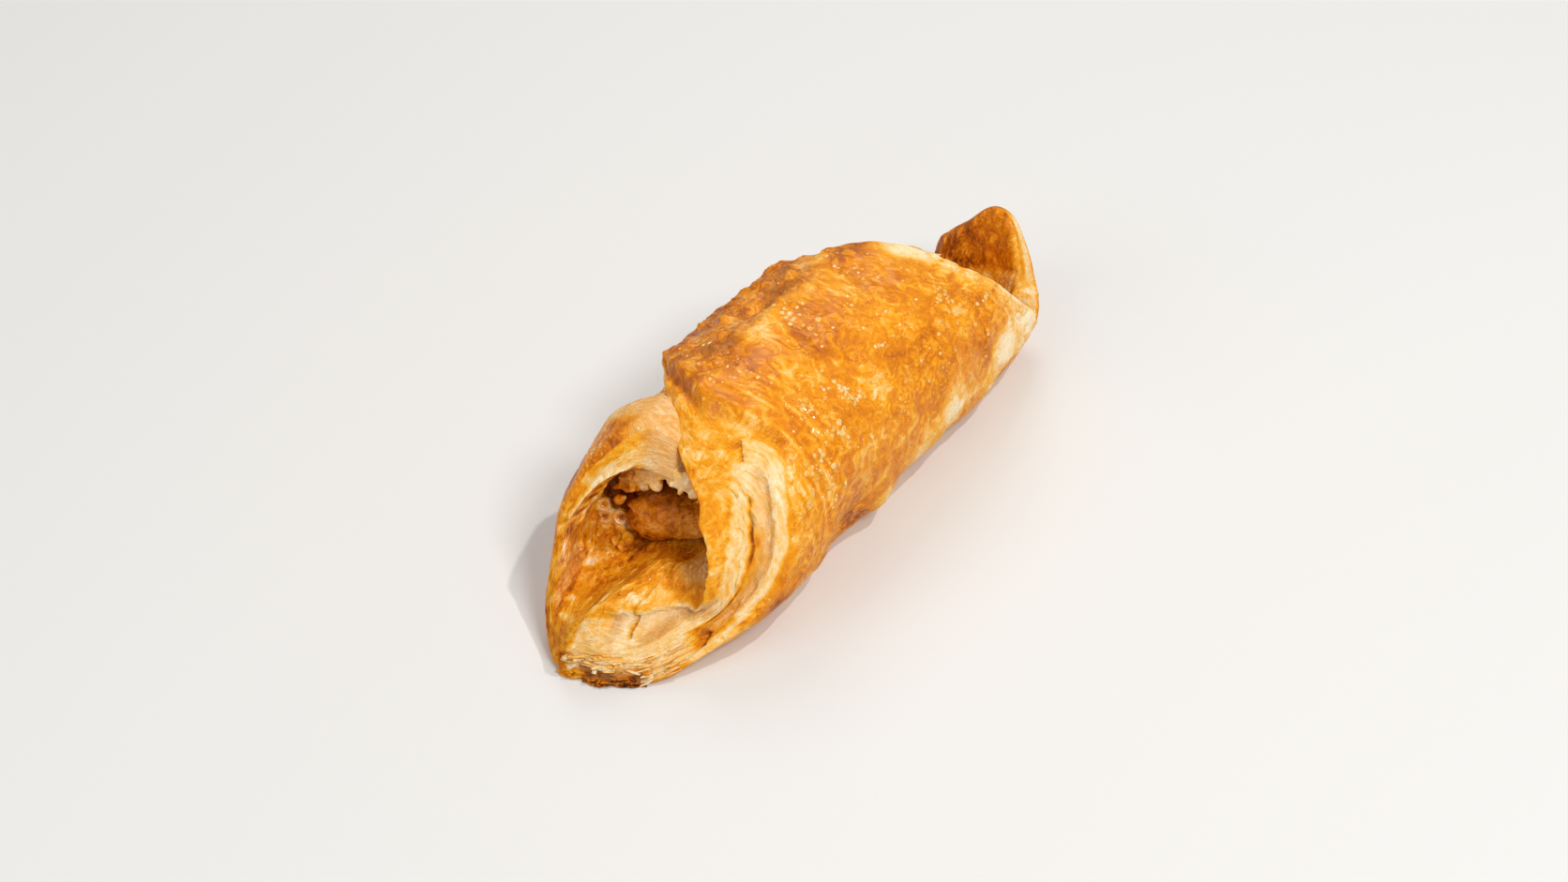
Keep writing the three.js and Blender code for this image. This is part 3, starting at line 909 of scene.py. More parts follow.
    def brown_lip(self, p: Points, blotch: Array, blend: Array) -> tuple[Array, Array]:
        """Browning of the lip, with the pale ground of the whole cut edge.

        Args:
            p: points of the sheet.
            blotch: small unevenness.
            blend: broad unevenness.

        Returns:
            The browning, and 1 where the lip's underside is burnt.
        """
        turn, level = p.turn, p.level
        standing, groove = self.leaves(p)
        bake = Bake.PALE + 0.06 * blotch + 0.1 * groove * fall(0.42, 0.5, level * band(-40, 60, 10, turn))
        bake = bake + 0.14 * np.maximum(standing, 0) * fall(0.2, 0.45, level) * band(-40, 62, 8, turn)
        bake = bake + 0.06 * blend * self.on_lip(turn)
        floor_side = 0.8 * rise(0.9, 0.99, level + 0.1 * blend) * band(-30, 40, 8, turn)
        bake = mix(bake, Bake.GOLDEN + 0.04, floor_side)
        bake = mix(bake, Bake.STRAW, 0.8 * rise(0.93, 0.98, level) * band(40, 80, 8, turn))
        bake = mix(bake, Bake.BROWN + 0.04, 0.9 * self.slit(turn, level))
        burnt = fall(0.15, 0.28, level + 0.07 * blotch) * band(0, 42, 7, turn)
        charred = np.clip(burnt * (0.85 + 0.3 * blend), 0, 1)
        return mix(bake, Bake.DARK + 0.06 + 0.14 * blotch, charred), burnt

    def brown_cover_edge(self, p: Points, bake: Array, blotch: Array, blend: Array) -> Array:
        """Browning of the cover's cut edge and its crevice, laid over the browning so far, with painted
        shade down in the crevice, along its crack and in a band near the inside.

        Args:
            p: points of the sheet.
            bake: the browning so far.
            blotch: small unevenness.
            blend: broad unevenness.

        Returns:
            The browning.
        """
        turn, level = p.turn, p.level
        recess = self.recess(p)
        # Painted shade: beige down in the crevice.
        bake = mix(bake, Bake.BEIGE - 0.02, recess)
        strip = band(68, 77, 3, turn) * fall(0.42, 0.48, level) * fall(0.02, 0.1, -level + 0.16)
        bake = mix(bake, Bake.TOASTED, strip * (1 - 0.7 * recess))
        # The fine crack is brown, partly browning and partly painted shade.
        crack = np.clip(self.crevice.line(turn, level) * (1.1 + 0.5 * blend), 0, 1)
        bake = mix(bake, Bake.BROWN + 0.04, crack)
        bake = mix(bake, Bake.DARK, bell(turn, 65, 2.6) * bell(level, 0.22, 0.07))
        over = level + 0.03 * blotch - Curve(self.gold_border)(turn)
        gold = rise(-0.04, 0.05, over) * rise(78, 90, turn)
        curls = self.fine.layered(turn / 6, p.depth / 1.2, 8.0)
        bake = mix(bake, Bake.STRAW + 0.05 + 0.16 * curls, gold * fall(214, 226, turn))
        bake = mix(bake, Bake.TOASTED, 0.7 * bell(over, 0.01, 0.012) * band(84, 142, 6, turn))
        bake = mix(bake, Bake.GOLDEN, 0.9 * fall(0.03, 0.07, level) * rise(76, 84, turn))
        # Painted shadow: a brown band near the inside of the cut edge.
        bake = mix(bake, Bake.BROWN, 0.5 * rise(0.86, 0.95, level) * band(140, 175, 8, turn))
        return mix(bake, Bake.BROWN, self.folds(turn, level))

    def brown_left_edge(self, p: Points, bake: Array, blotch: Array) -> tuple[Array, Array]:
        """Browning of the cut edge up the left side to the arch, laid over the browning so far, with
        painted shade where the arch meets the cover's edge.

        Args:
            p: points of the sheet.
            bake: the browning so far.
            blotch: small unevenness.

        Returns:
            The browning and the amount of melted sugar.
        """
        turn, level = p.turn, p.level
        groove = self.leaves(p)[1]
        tip = band(-75, -22, 9, turn)
        bake = mix(bake, Bake.TOASTED + 0.03 + 0.16 * blotch - 0.1 * level, tip)
        side = band(-128, -84, 7, turn)
        radial = self.fine.layered(turn / 2.0, level * 1.2, 24.0)
        bake = mix(bake, Bake.STRAW + 0.1 + 0.2 * radial, side)
        # The arch's cut edge turns browner towards the cover's edge: painted shade.
        arch_bake = Bake.PALE + 0.05 + 0.1 * blotch + 0.1 * groove + 0.14 * rise(-168, -182, turn)
        bake = mix(bake, arch_bake, band(-182, -134, 6, turn))
        outer = band(-162, -134, 6, turn) * fall(0.16, 0.34, level + 0.05 * blotch)
        bake = mix(bake, Bake.STRAW + 0.04, outer)
        strip_level = self.strip_level(turn)
        peel = band(-148, -114, 5, turn) * bell(level, strip_level, 0.075)
        sugar = rise(0.03, 0.1, level - strip_level) * band(-150, -96, 8, turn)
        bake = mix(bake, Bake.GOLDEN + 0.05 + 0.18 * radial + 0.06 * blotch, sugar)
        return mix(bake, Bake.CREAM + 0.04, peel), sugar

    def brown_rim(self, p: Points) -> tuple[Array, Array, Array]:
        """Browning of the mouth's cut edge.

        Args:
            p: points of the sheet.

        Returns:
            The browning, with painted shade on the lip, the amount of greyish tint, which is painted shade
            except on the lip's burnt underside, and the amount of melted sugar.
        """
        turn, level = p.turn, p.level
        blotch = self.noise.layered(turn / 7, p.depth / 1.6, 23.0)
        blend = self.noise.layered(turn / 16, p.depth / 3, 28.0)
        bake, burnt = self.brown_lip(p, blotch, blend)
        bake = self.brown_cover_edge(p, bake, blotch, blend)
        bake, sugar = self.brown_left_edge(p, bake, blotch)
        # Painted shade: soft patches on the right of the lip front, a little browner and greyer.
        shade = np.clip(0.4 + 1.1 * blend, 0, 1) * band(24, 74, 10, turn) * band(0.55, 0.8, 0.1, level)
        # Painted shade: greyer low on the left half of the lip front.
        inner = 0.45 * self.on_lip(turn) * fall(0.1, 0.45, level) * bell(turn, 8, 22)
        # Painted shade: greyer in the hollow along the lip's ledge.
        hollow = band(20, 80, 10, turn) * bell(level, 0.8, 0.08)
        # Painted shade: greyer on the arch's face beside the cover's edge and down in the crevice.
        tan_and_shade = 0.75 * band(-178, -164, 8, turn) + inner
        tan_and_shade = tan_and_shade + 0.6 * hollow + 0.4 * self.recess(p) + 0.7 * shade
        return bake + 0.12 * shade, np.clip(tan_and_shade + 0.8 * burnt, 0, 0.9), sugar

    def brown_inside(self, station: Array, turn: Array) -> tuple[Array, Array, Array]:
        """Browning of the mouth's floor and walls and of the far corner's inside.

        Args:
            station: mm along the pastry.
            turn: degrees round it.

        Returns:
            The browning, with painted light and shade, the amount of greyish tint, which is painted shade,
            and the amount of melted sugar.
        """
        ragged = self.noise.layered(station / 5, turn / 12, 25.0)
        floor = Bake.GOLDEN + 0.07 + 0.08 * ragged
        # Darker on the left of the floor towards the wall: partly toasting, partly painted shade.
        floor = floor + Feature(-50, -36, 13, 24, 0.17).cover(station, turn, ragged)
        floor = floor + Feature(-65, 20, 4, 4, 0.14, -0.3).strength(station, turn)
        floor = floor - Feature(-62, 34, 4, 9, 0.16).cover(station, turn, ragged)
        blobs = np.maximum(self.fine.layered(station / 2.6, turn / 6.5, 41.0), 0)
        floor = floor - 0.34 * blobs * fall(-56, -47, station)
        behind = station - FORM.near_inside(turn) + 2 * ragged
        floor = floor - 0.16 * fall(0, 3.5, behind) * band(-20, 60, 8, turn)
        # Painted light and shade: the floor's corner behind the cover's edge is made paler against its
        # shadow and greyer.
        corner = band(52, 108, 10, turn) * rise(-57, -51, station + ragged)
        floor = mix(floor, Bake.STRAW - 0.06, 0.85 * corner)
        # Painted shade: the mouth's dim left wall is golden with a greyish tint.
        panel = band(-104, -72, 5, turn) * fall(-60, -56, station)
        floor = mix(floor, Bake.GOLDEN, panel)
        floor = mix(floor, Bake.BROWN + 0.02, 0.85 * self.wall_crease(station, turn, 2.4))
        sugar = self.caramel(station, turn)
        strings = self.fine.ridged(station / 3, turn / 7, 26.0) ** 3
        runs = self.fine.layered(station / 2.4, turn / 6, 29.0)
        melted = Bake.GOLDEN + 0.06 + 0.2 * runs - 0.35 * strings
        floor = mix(floor, melted, sugar)
        tip = mix(Bake.BROWN - 0.02, Bake.TOASTED - 0.04, rise(-34, 20, turn))
        tip = tip - 0.2 * np.maximum(self.noise.layered(station / 2.4, turn / 5, 27.0), 0)
        tip = tip - 0.2 * rise(16, 32, turn) + 0.14 * self.far_fold(station, turn, 1.0)
        tip = mix(tip, Bake.STRAW, 0.8 * fall(77, 82, station - 0.02 * turn) * rise(-20, 12, turn))
        bake = mix(floor, tip, rise(20, 40, station))
        return bake, np.maximum(0.55 * panel, 0.5 * corner * (station < 0)), sugar

    def brown(self, p: Points, station: Array) -> dict[str, Array]:
        """All attributes of the finish but the grain.

        Args:
            p: points of the sheet.
            station: where each lies along the pastry with its relief, mm.

        Returns:
            Attributes bake, tan_and_shade, gloss, wet and cut; tan_and_shade is a greyish tint, mostly
            painted shade.
        """
        crust, crust_tan_and_shade = self.brown_crust(station, p.turn, p.far)
        rim, rim_tan_and_shade, rim_sugar = self.brown_rim(p)
        inside, inside_shade, inside_sugar = self.brown_inside(station, p.turn)
        far_rim = Bake.PALE + 0.18 * fall(0.0, 0.12, p.level) + 0.12 * rise(0.85, 1, p.level)
        creases = self.noise.ridged(p.turn / 6.0, p.level, 4.0) ** 2
        far_rim = far_rim + 0.3 * creases * band(50, 170, 10, p.turn)
        # Painted shade: the far corner's cut edge is brown on its left, the side in shadow.
        far_rim = mix(far_rim, Bake.BROWN - 0.04, rise(-90, -80, p.turn) * fall(-4, 10, p.turn))
        far_rim = mix(far_rim, Bake.GOLDEN, rise(0.4, 0.6, p.level) * band(0, 40, 10, p.turn))
        on_crust, on_inside = p.level <= 0, p.level >= 1
        near_half = p.along < 0.5
        cases = [on_crust, on_inside, near_half]
        zero = np.zeros(len(p.turn))
        bake = np.select(cases, [crust, inside, rim], far_rim)
        tan_and_shade = np.select(cases, [crust_tan_and_shade, inside_shade, rim_tan_and_shade], zero)
        wet = np.select(cases, [zero, inside_sugar, rim_sugar], zero)
        washed = rise(0.3, 0.45, crust) * rise(48, 70, np.abs(p.turn)) * (1 - crust_tan_and_shade)
        rim_gloss = 0.9 * self.rolled(p.turn) + 0.5 * band(84, 160, 8, p.turn) * rise(0.66, 0.74, p.level)
        gloss = np.select(cases, [washed, 0.5 + 0.5 * inside_sugar, np.clip(rim_gloss, 0, 1)], zero)
        cut = np.where(on_crust | on_inside, 0.0, 1 - 0.8 * np.clip(rim_gloss, 0, 1))
        gloss, wet = np.clip(gloss, 0, 1), np.clip(wet, 0, 1)
        return {"bake": bake, "tan_and_shade": tan_and_shade, "gloss": gloss, "cut": cut, "wet": wet}

    def build(self) -> bpy.types.Object:
        """Builds the dough's object."""
        bm, points = self.lay_out()
        places, marks = self.shape(points)
        bmesh.ops.recalc_face_normals(bm, faces=bm.faces[:])
        return finish_mesh("dough", bm, places, marks)


@dataclass
class BakedInside:
    """The inside of the pastry, seen as the back wall of the mouth."""

    near: float = -37.0
    far: float = 58.0
    margin: float = 4.0
    turns: int = 150
    rows: int = 80
    front_part: float = 0.4
    back_part: float = 0.3
    noise: Unevenness = field(default_factory=lambda: Unevenness(8))

    def depth(self, station: Array, turn: Array) -> Array:
        """Depth below the outline, midway through the dough round it, mm."""
        left = FORM.sunk(station, turn) + 0.5 * FORM.full_thickness(turn)
        right = 0.5 * FORM.full_thickness(np.minimum(turn, 150))
        top = FORM.sunk(station, -180.0) + 0.5 * FORM.full_thickness(-180.0)
        return np.where(turn < 0, left, mix(right, top, rise(150, 180, turn)))

    def shape(self, turn: Array, part: Array) -> Array:
        """Point for a turn and a part of the way from the front's middle to the far end's."""
        far_rim = np.minimum(self.far, FORM.far_crust(np.maximum(turn, -150)) - self.margin)
        far_top = np.minimum(self.far, FORM.far_crust(180.0) - self.margin)
        far = mix(far_rim, far_top, fall(-180, -150, turn))
        last = 1 - self.back_part
        between = np.clip((part - self.front_part) / (last - self.front_part), 0, 1)
        station = mix(self.near, far, between)
        wall = FORM.place(station, turn, self.depth(station, turn))
        ends = np.where(part < 0.5, self.near + 3, self.far)
        middle = np.stack([ends, FORM.middle(ends), np.full_like(ends, FORM.section_middle)], -1)
        inwards = np.maximum(1 - part / self.front_part, (part - last) / self.back_part).clip(0, 1)
        return mix(wall, middle + np.array(FORM.shift), inwards[:, None])

    def build(self) -> bpy.types.Object:
        """Builds the closed inside from one sheet rolled up and drawn together at its ends."""
        bm = bmesh.new()
        bmesh.ops.create_grid(bm, x_segments=self.turns, y_segments=self.rows, size=0.5)
        laid = vertex_places(bm) + 0.5
        turn = mix(-180.0, 180.0, laid[:, 0].clip(0, 1))
        turn = np.where(turn > 179.999, -180.0, turn)
        part = laid[:, 1].clip(0, 1)
        points = self.shape(turn, part)
        front = fall(self.front_part - 0.04, self.front_part, part)
        torn = self.noise.layered(points[:, 1] / 3.0, points[:, 2] / 3.0, 2.0)
        points[:, 0] += (1.2 * torn - 0.6) * front * rise(0, 0.05, part)
        places = close_up(bm, points)
        crumb = self.noise.layered(places[:, 1] / 2.2, places[:, 2] / 2.2, 4.0)
        bake = np.where(places[:, 0] < 0, Bake.GOLDEN + 0.25 * crumb, Bake.GOLDEN)
        return finish_mesh("baked_inside", bm, places, surface_marks(places, bake))


# ---- The filling and the melted sugar -----------------------------------------------


@dataclass
class CreamCheese:
    """The filling: a soft flattened bar, browned and glossy where it reaches the mouth."""

    start: float = -46.0
    end: float = 42.0
    middle_y: float = -4.0
    middle_z: float = 16.6
    half_width: float = 13.0
    half_height: float = 5.4
    slant: float = 0.3
    tilt: float = 0.2
    squareness: float = 0.75
    end_squareness: float = 14
    crowding: float = 1.6  # of the columns towards the mouth
    bake: float = 0.45
    # How much darker the top is, a painted shadow under the torn dough, and how much lighter the bottom.
    shadow_above: float = 0.28
    lighter_below: float = 0.24
    turns: int = 120
    columns: int = 150
    noise: Unevenness = field(default_factory=lambda: Unevenness(21))

    def build(self) -> bpy.types.Object:
        """Builds the closed bar."""
        bm = bmesh.new()
        bmesh.ops.create_grid(bm, x_segments=self.turns, y_segments=self.columns, size=0.5)
        laid = vertex_places(bm) + 0.5
        angle = 2 * np.pi * (laid[:, 0].clip(0, 1) % 1.0)
        along = laid[:, 1].clip(0, 1) ** self.crowding
        front = fall(0.0, 0.35, along)
        taper = np.sqrt(np.maximum(1 - np.abs(2 * along - 1) ** self.end_squareness, 0))
        sine, cosine = np.sin(angle), np.cos(angle)
        across = self.half_width * taper * np.sign(cosine) * np.abs(cosine) ** self.squareness
        upwards = self.half_height * taper * np.sign(sine) * np.abs(sine) ** self.squareness
        station = mix(self.start, self.end, along) - (self.slant * across - 0.35 * upwards) * front
        lumps = 1 + 0.05 * np.sin(3 * angle + station / 3)
        rough = self.noise.layered(station / 3.2, 2 * cosine, 2 * sine)
        lumps = lumps + 0.2 * rough * front + 0.04 * rough
        y = self.middle_y + across * lumps
        z = self.middle_z + upwards * lumps - self.tilt * across * front
        station = station + 1.5 * self.noise.layered(y / 4.5, z / 3, 5.0) * front * taper
        points = np.stack([station, y, z], -1) + np.array(FORM.shift)
        places = close_up(bm, points)
        # Painted shadow at the top, lighter towards the bottom.
        high = rise(17, 22, places[:, 2] + 0.12 * places[:, 1])
        low = fall(15, 10, places[:, 2])
        bake = self.bake - self.shadow_above * high + self.lighter_below * low
        return finish_mesh("cream_cheese", bm, places, {"grain": places, "bake": bake})


@dataclass(frozen=True)
class Strand:
    """A lump of dough or sugar drawn out between two points.

    Args:
        first: station, y and z of its start, mm.
        last: station, y and z of its end, mm.
        thick: radius at its start, mm.
        thin: radius at its end, mm.
    """

    first: tuple[float, float, float]
    last: tuple[float, float, float]
    thick: float
    thin: float

    def add(self, bm: bmesh.types.BMesh, rng: np.random.Generator) -> None:
        """Adds its beads to the mesh."""
        first, last = np.array(self.first), np.array(self.last)
        way = last - first
        gap = 0.7 * min(self.thick, self.thin)
        count = int(np.clip(np.linalg.norm(way) / gap + 1, 2, 5))
        for i in range(count):
            part = i / (count - 1)
            radius = mix(self.thick, self.thin, part) * rng.uniform(0.85, 1.12)
            middle = first + way * part + rng.normal(0, 0.14, 3) * radius + np.array(FORM.shift)
            add_ball(bm, turned_frame(way + 1e-6, (-1.0, 0.0, 0.4), middle, (radius,) * 3))


@dataclass
class TornDough:
    """Pale lumps and strings of dough torn apart under the arch, with crumbs on the floor."""

    seed: int = 14
    voxel: float = 0.3
    lumps: int = 210
    loose_crumbs: int = 9
    front: float = -42.2
    across: tuple[float, float] = (-12, 11)
    sizes: tuple[float, float] = (0.35, 1.15)
    # Across, height of the arch's underside where strings hang.
    hanging: tuple = (
        (-12, 27.6),
        (-8, 28.2),
        (-4, 28),
        (0, 27.4),
        (4, 26.2),
        (8, 24),
        (11.5, 20.5),
    )
    # Across, how far the torn dough reaches down.
    reach: tuple = (
        (-12, 3),
        (-8, 4.6),
        (-4, 3.8),
        (0, 5.4),
        (3, 7),
        (5.5, 9.5),
        (8, 9.6),
        (11.5, 7.5),
    )
    noise: Unevenness = field(default_factory=lambda: Unevenness(16))

    def strands(self, rng: np.random.Generator) -> list[Strand]:
        """The lumps and short strings under the arch, drawn at random and thinner below."""
        roof, reach = Curve(self.hanging), Curve(self.reach)
        made = []
        for _ in range(self.lumps):
            y = rng.uniform(*self.across)
            clump = 0.5 + 0.5 * float(self.noise(y / 1.9, 2.0))
            drop = float(reach(y)) * rng.uniform(0, 1) ** 1.5 * mix(0.45, 1.0, clump)
            z = float(roof(y)) + 0.9 - drop
            x = self.front - 0.25 * drop + rng.uniform(-1.7, 1.0)
            size = rng.uniform(*self.sizes)
            end = (x + rng.uniform(-0.7, 0.7), y + rng.uniform(-1.3, 1.3), z + rng.uniform(0.2, 2.2))
            made.append(Strand((x, y, z), end, size, size * rng.uniform(0.6, 1.0)))
        return made

    def crumbs(self, rng: np.random.Generator) -> list[Strand]:
        """Small pale crumbs where the floor meets the sugar."""
        made = []
        for _ in range(self.loose_crumbs):
            x, y = rng.uniform(-47.5, -44.5), rng.uniform(9.5, 13.0)
            z = 6.6 + 0.45 * (12.5 - y) + rng.uniform(-0.3, 0.5)
            made.append(Strand((x, y, z), (x + 0.4, y - 0.7, z), 0.5, 0.4))
        return made

    def build(self) -> bpy.types.Object:
        """Builds the fused lumps."""
        rng = np.random.default_rng(self.seed)
        bm = bmesh.new()
        for strand in self.strands(rng) + self.crumbs(rng):
            strand.add(bm, rng)
        skin = fuse(bm, self.voxel, 1)
        places = vertex_places(skin)
        ragged = self.noise.layered(places[:, 1] / 1.6, places[:, 2] / 2.4, places[:, 0] / 1.6)
        places = places + 0.35 * ragged[:, None] * np.array([-1.0, 0.3, 0.3])
        low = fall(19.5, 24.5, places[:, 2] + ragged)
        amber = rise(2.5, 6.0, places[:, 1] - FORM.shift[1] + ragged)
        bake = Bake.PALE + 0.12 * ragged + (0.16 + 0.1 * amber) * low + 0.14 * amber
        return finish_mesh("torn_dough", skin, places, surface_marks(places, bake, 0.4, 0.8 * amber))


@dataclass
class MeltedSugar:
    """Caramel with popped bubbles that runs from the filling down the mouth's left wall."""

    seed: int = 31
    voxel: float = 0.3
    drops: int = 110
    drop_turns: tuple[float, float] = (-86, -46)
    drop_stations: tuple[float, float] = (-50, -37)
    drop_sizes: tuple[float, float] = (0.5, 1.5)
    # Station, y, z and radius of the popped bubbles.
    rings: tuple = (
        (-46.0, 13.2, 13.6, 1.15),
        (-46.6, 12.6, 11.2, 1.3),
        (-45.2, 9.6, 11.3, 1.3),
        (-47.5, 14.6, 13.4, 0.8),
        (-45.0, 11.2, 11.0, 0.8),
    )
    ring_beads: int = 20
    bead: float = 0.38
    bed_reach: float = 1.7  # of the disc behind a bubble, in its radii
    bed_thickness: float = 0.5
    noise: Unevenness = field(default_factory=lambda: Unevenness(33))

    @staticmethod
    def wall(station: float, turn: float, rise_above: float) -> tuple[Array, Array, Array]:
        """Point over the mouth's wall with the directions along it and inwards."""
        thick = FORM.full_thickness(turn)
        here = FORM.place(station, turn, thick + rise_above)
        ahead = FORM.place(station + 1, turn, thick + rise_above) - here
        inwards = FORM.place(station, turn, thick + rise_above + 1) - here
        return here, ahead / np.linalg.norm(ahead), inwards / np.linalg.norm(inwards)

    def add_drops(self, bm: bmesh.types.BMesh, rng: np.random.Generator) -> None:
        """Adds flat drops that run together."""
        for _ in range(self.drops):
            turn = rng.uniform(*self.drop_turns)
            station = rng.uniform(*self.drop_stations) - 0.06 * (turn + 70)
            here, ahead, inwards = self.wall(station, turn, -0.1)
            size = rng.uniform(*self.drop_sizes)
            shape = (size * rng.uniform(0.8, 1.8), size, rng.uniform(0.3, 0.5))
            add_ball(bm, turned_frame(ahead, inwards, here, shape))

    def add_rings(self, bm: bmesh.types.BMesh, rng: np.random.Generator) -> None:
        """Adds the rims of popped bubbles, each on a disc of sugar."""
        along, upwards = np.array([0.6, -0.8, 0.0]), np.array([0.5, 0.4, 0.77])
        for *middle, radius in self.rings:
            outwards = np.cross(along, upwards)
            here = np.array(middle) + np.array(FORM.shift) + 0.7 * outwards
            behind = here - 0.6 * outwards
            reach = self.bed_reach * radius
            add_ball(bm, turned_frame(along, outwards, behind, (reach, reach, self.bed_thickness)), 3)
            for i in range(self.ring_beads):
                angle = 2 * np.pi * i / self.ring_beads
                way = radius * (np.cos(angle) * along + np.sin(angle) * upwards)
                size = self.bead * rng.uniform(0.9, 1.2)
                add_ball(bm, turned_frame(along, upwards, here + way, (size,) * 3), 1)

    def in_rings(self, places: Array) -> tuple[Array, Array]:
        """1 at the bottoms of the popped bubbles, painted dark as shade, and 1 on their rims, painted pale
        as a highlight.
        """
        bottoms, rims = np.zeros(len(places)), np.zeros(len(places))
        for *middle, radius in self.rings:
            away = np.linalg.norm(places - np.array(middle) - np.array(FORM.shift), axis=1) / radius
            bottoms = np.maximum(bottoms, fall(0.6, 0.9, away))
            rims = np.maximum(rims, band(1.0, 1.4, 0.1, away))
        return bottoms, rims

    def build(self) -> bpy.types.Object:
        """Builds the fused sugar."""
        rng = np.random.default_rng(self.seed)
        bm = bmesh.new()
        self.add_drops(bm, rng)
        self.add_rings(bm, rng)
        skin = fuse(bm, self.voxel, 1)
        places = vertex_places(skin)
        blotch = self.noise.layered(places[:, 1] / 2.2, places[:, 2] / 2.2, places[:, 0] / 2.2)
        bake = Bake.GOLDEN - 0.04 + 0.26 * blotch
        bottoms, rims = self.in_rings(places)
        # Painted highlight: pale rims; painted shade: brown bottoms.
        bake = mix(mix(bake, Bake.BEIGE, 0.8 * rims), Bake.BROWN, bottoms)
        marks = surface_marks(places, bake, 1.0, 1.0)
        return finish_mesh("melted_sugar", skin, places, marks)


# ---- Small relief on the crust ---------------------------------------------------


@dataclass(frozen=True)
class Cluster:
    """A group of egg-wash bubbles: where, how far it spreads in mm, and how many."""

    station: float
    turn: float
    reach: float
    count: int


@dataclass
class WashBubbles:
    """Small shiny bubbles that the egg wash left on the crust, some of them popped."""

    sheet: DoughSheet
    seed: int = 52
    scattered: int = 130
    on_left: int = 12
    clear_of_edges: float = 3.0
    popped: float = 0.4
    clusters: tuple[Cluster, ...] = (
        Cluster(0.6, 182, 3.0, 18),
        Cluster(-19.6, 150.6, 2.4, 14),
        Cluster(-9.5, 138.6, 3.0, 18),
        Cluster(-19, 130.6, 3.4, 24),
        Cluster(-27, 124.4, 3.6, 26),
        Cluster(43, 130, 1.2, 4),
        Cluster(22, 178.6, 2.6, 7),
        Cluster(32, 143.8, 2.6, 14),
        Cluster(29.6, 133, 2.2, 7),
        Cluster(-34, 113, 2.4, 7),
        Cluster(-24, 112, 3.6, 12),
    )

    def spots(self, rng: np.random.Generator) -> list[tuple[float, float, float]]:
        """Station, turn and radius of every bubble."""
        made = []
        for group in self.clusters:
            for _ in range(group.count):
                along, round_it = rng.normal(0, 0.6 * group.reach, 2)
                turn = group.turn + round_it / ARC
                made.append((group.station + along, turn, rng.uniform(0.3, 0.75)))
        for _ in range(self.scattered):
            made.append((rng.uniform(-30, 44), rng.uniform(98, 218), rng.uniform(0.2, 0.5)))
        for _ in range(self.on_left):
            made.append((rng.uniform(-50, -44), rng.uniform(-146, -122), rng.uniform(0.25, 0.45)))
        inside = []
        for station, turn, size in made:
            near, far = float(FORM.near_crust(turn)), float(FORM.far_crust(turn))
            if near + self.clear_of_edges < station < far - self.clear_of_edges:
                inside.append((station, turn, size))
        return inside

    def build(self) -> bpy.types.Object:
        """Builds all bubbles as one piece."""
        rng = np.random.default_rng(self.seed)
        bm = bmesh.new()
        bakes = []
        for station, turn, size in self.spots(rng):
            here, ahead, aside = self.sheet.crust_point(
                np.array([station, station + 0.6, station]), np.array([turn, turn, turn + 1.4])
            )
            ahead, aside = ahead - here, aside - here
            outwards = np.cross(aside, ahead)
            outwards = outwards * np.sign(np.dot(outwards, FORM.place(station, turn, -1.0) - here))
            outwards = outwards / np.linalg.norm(outwards)
            shape = (size * rng.uniform(0.8, 1.5), size, size * rng.uniform(0.4, 0.6))
            matrix = turned_frame(ahead, outwards, here - 0.12 * size * outwards, shape)
            dome = bmesh.ops.create_uvsphere(bm, u_segments=9, v_segments=6, radius=1.0)["verts"]
            if rng.uniform() < self.popped:
                for vert in dome:
                    reach = math.hypot(vert.co.x, vert.co.y)
                    if vert.co.z > 0 and reach < 0.6:
                        vert.co.z = 0.3
            bmesh.ops.transform(bm, matrix=matrix, verts=dome)
            # Paler than the crust round them, a painted highlight for their glints.
            bakes += [Bake.BEIGE + rng.uniform(-0.1, 0.1)] * len(dome)
        places = vertex_places(bm)
        bmesh.ops.recalc_face_normals(bm, faces=bm.faces[:])
        return finish_mesh("wash_bubbles", bm, places, surface_marks(places, np.array(bakes), 1.0, 0.9))


@dataclass(frozen=True)
class FlakeBed:
    """A stretch of the mouth's cut edge where loose flakes stand out."""

    turns: tuple[float, float]
    levels: tuple[float, float]
    count: int
    length: float
    bake: float


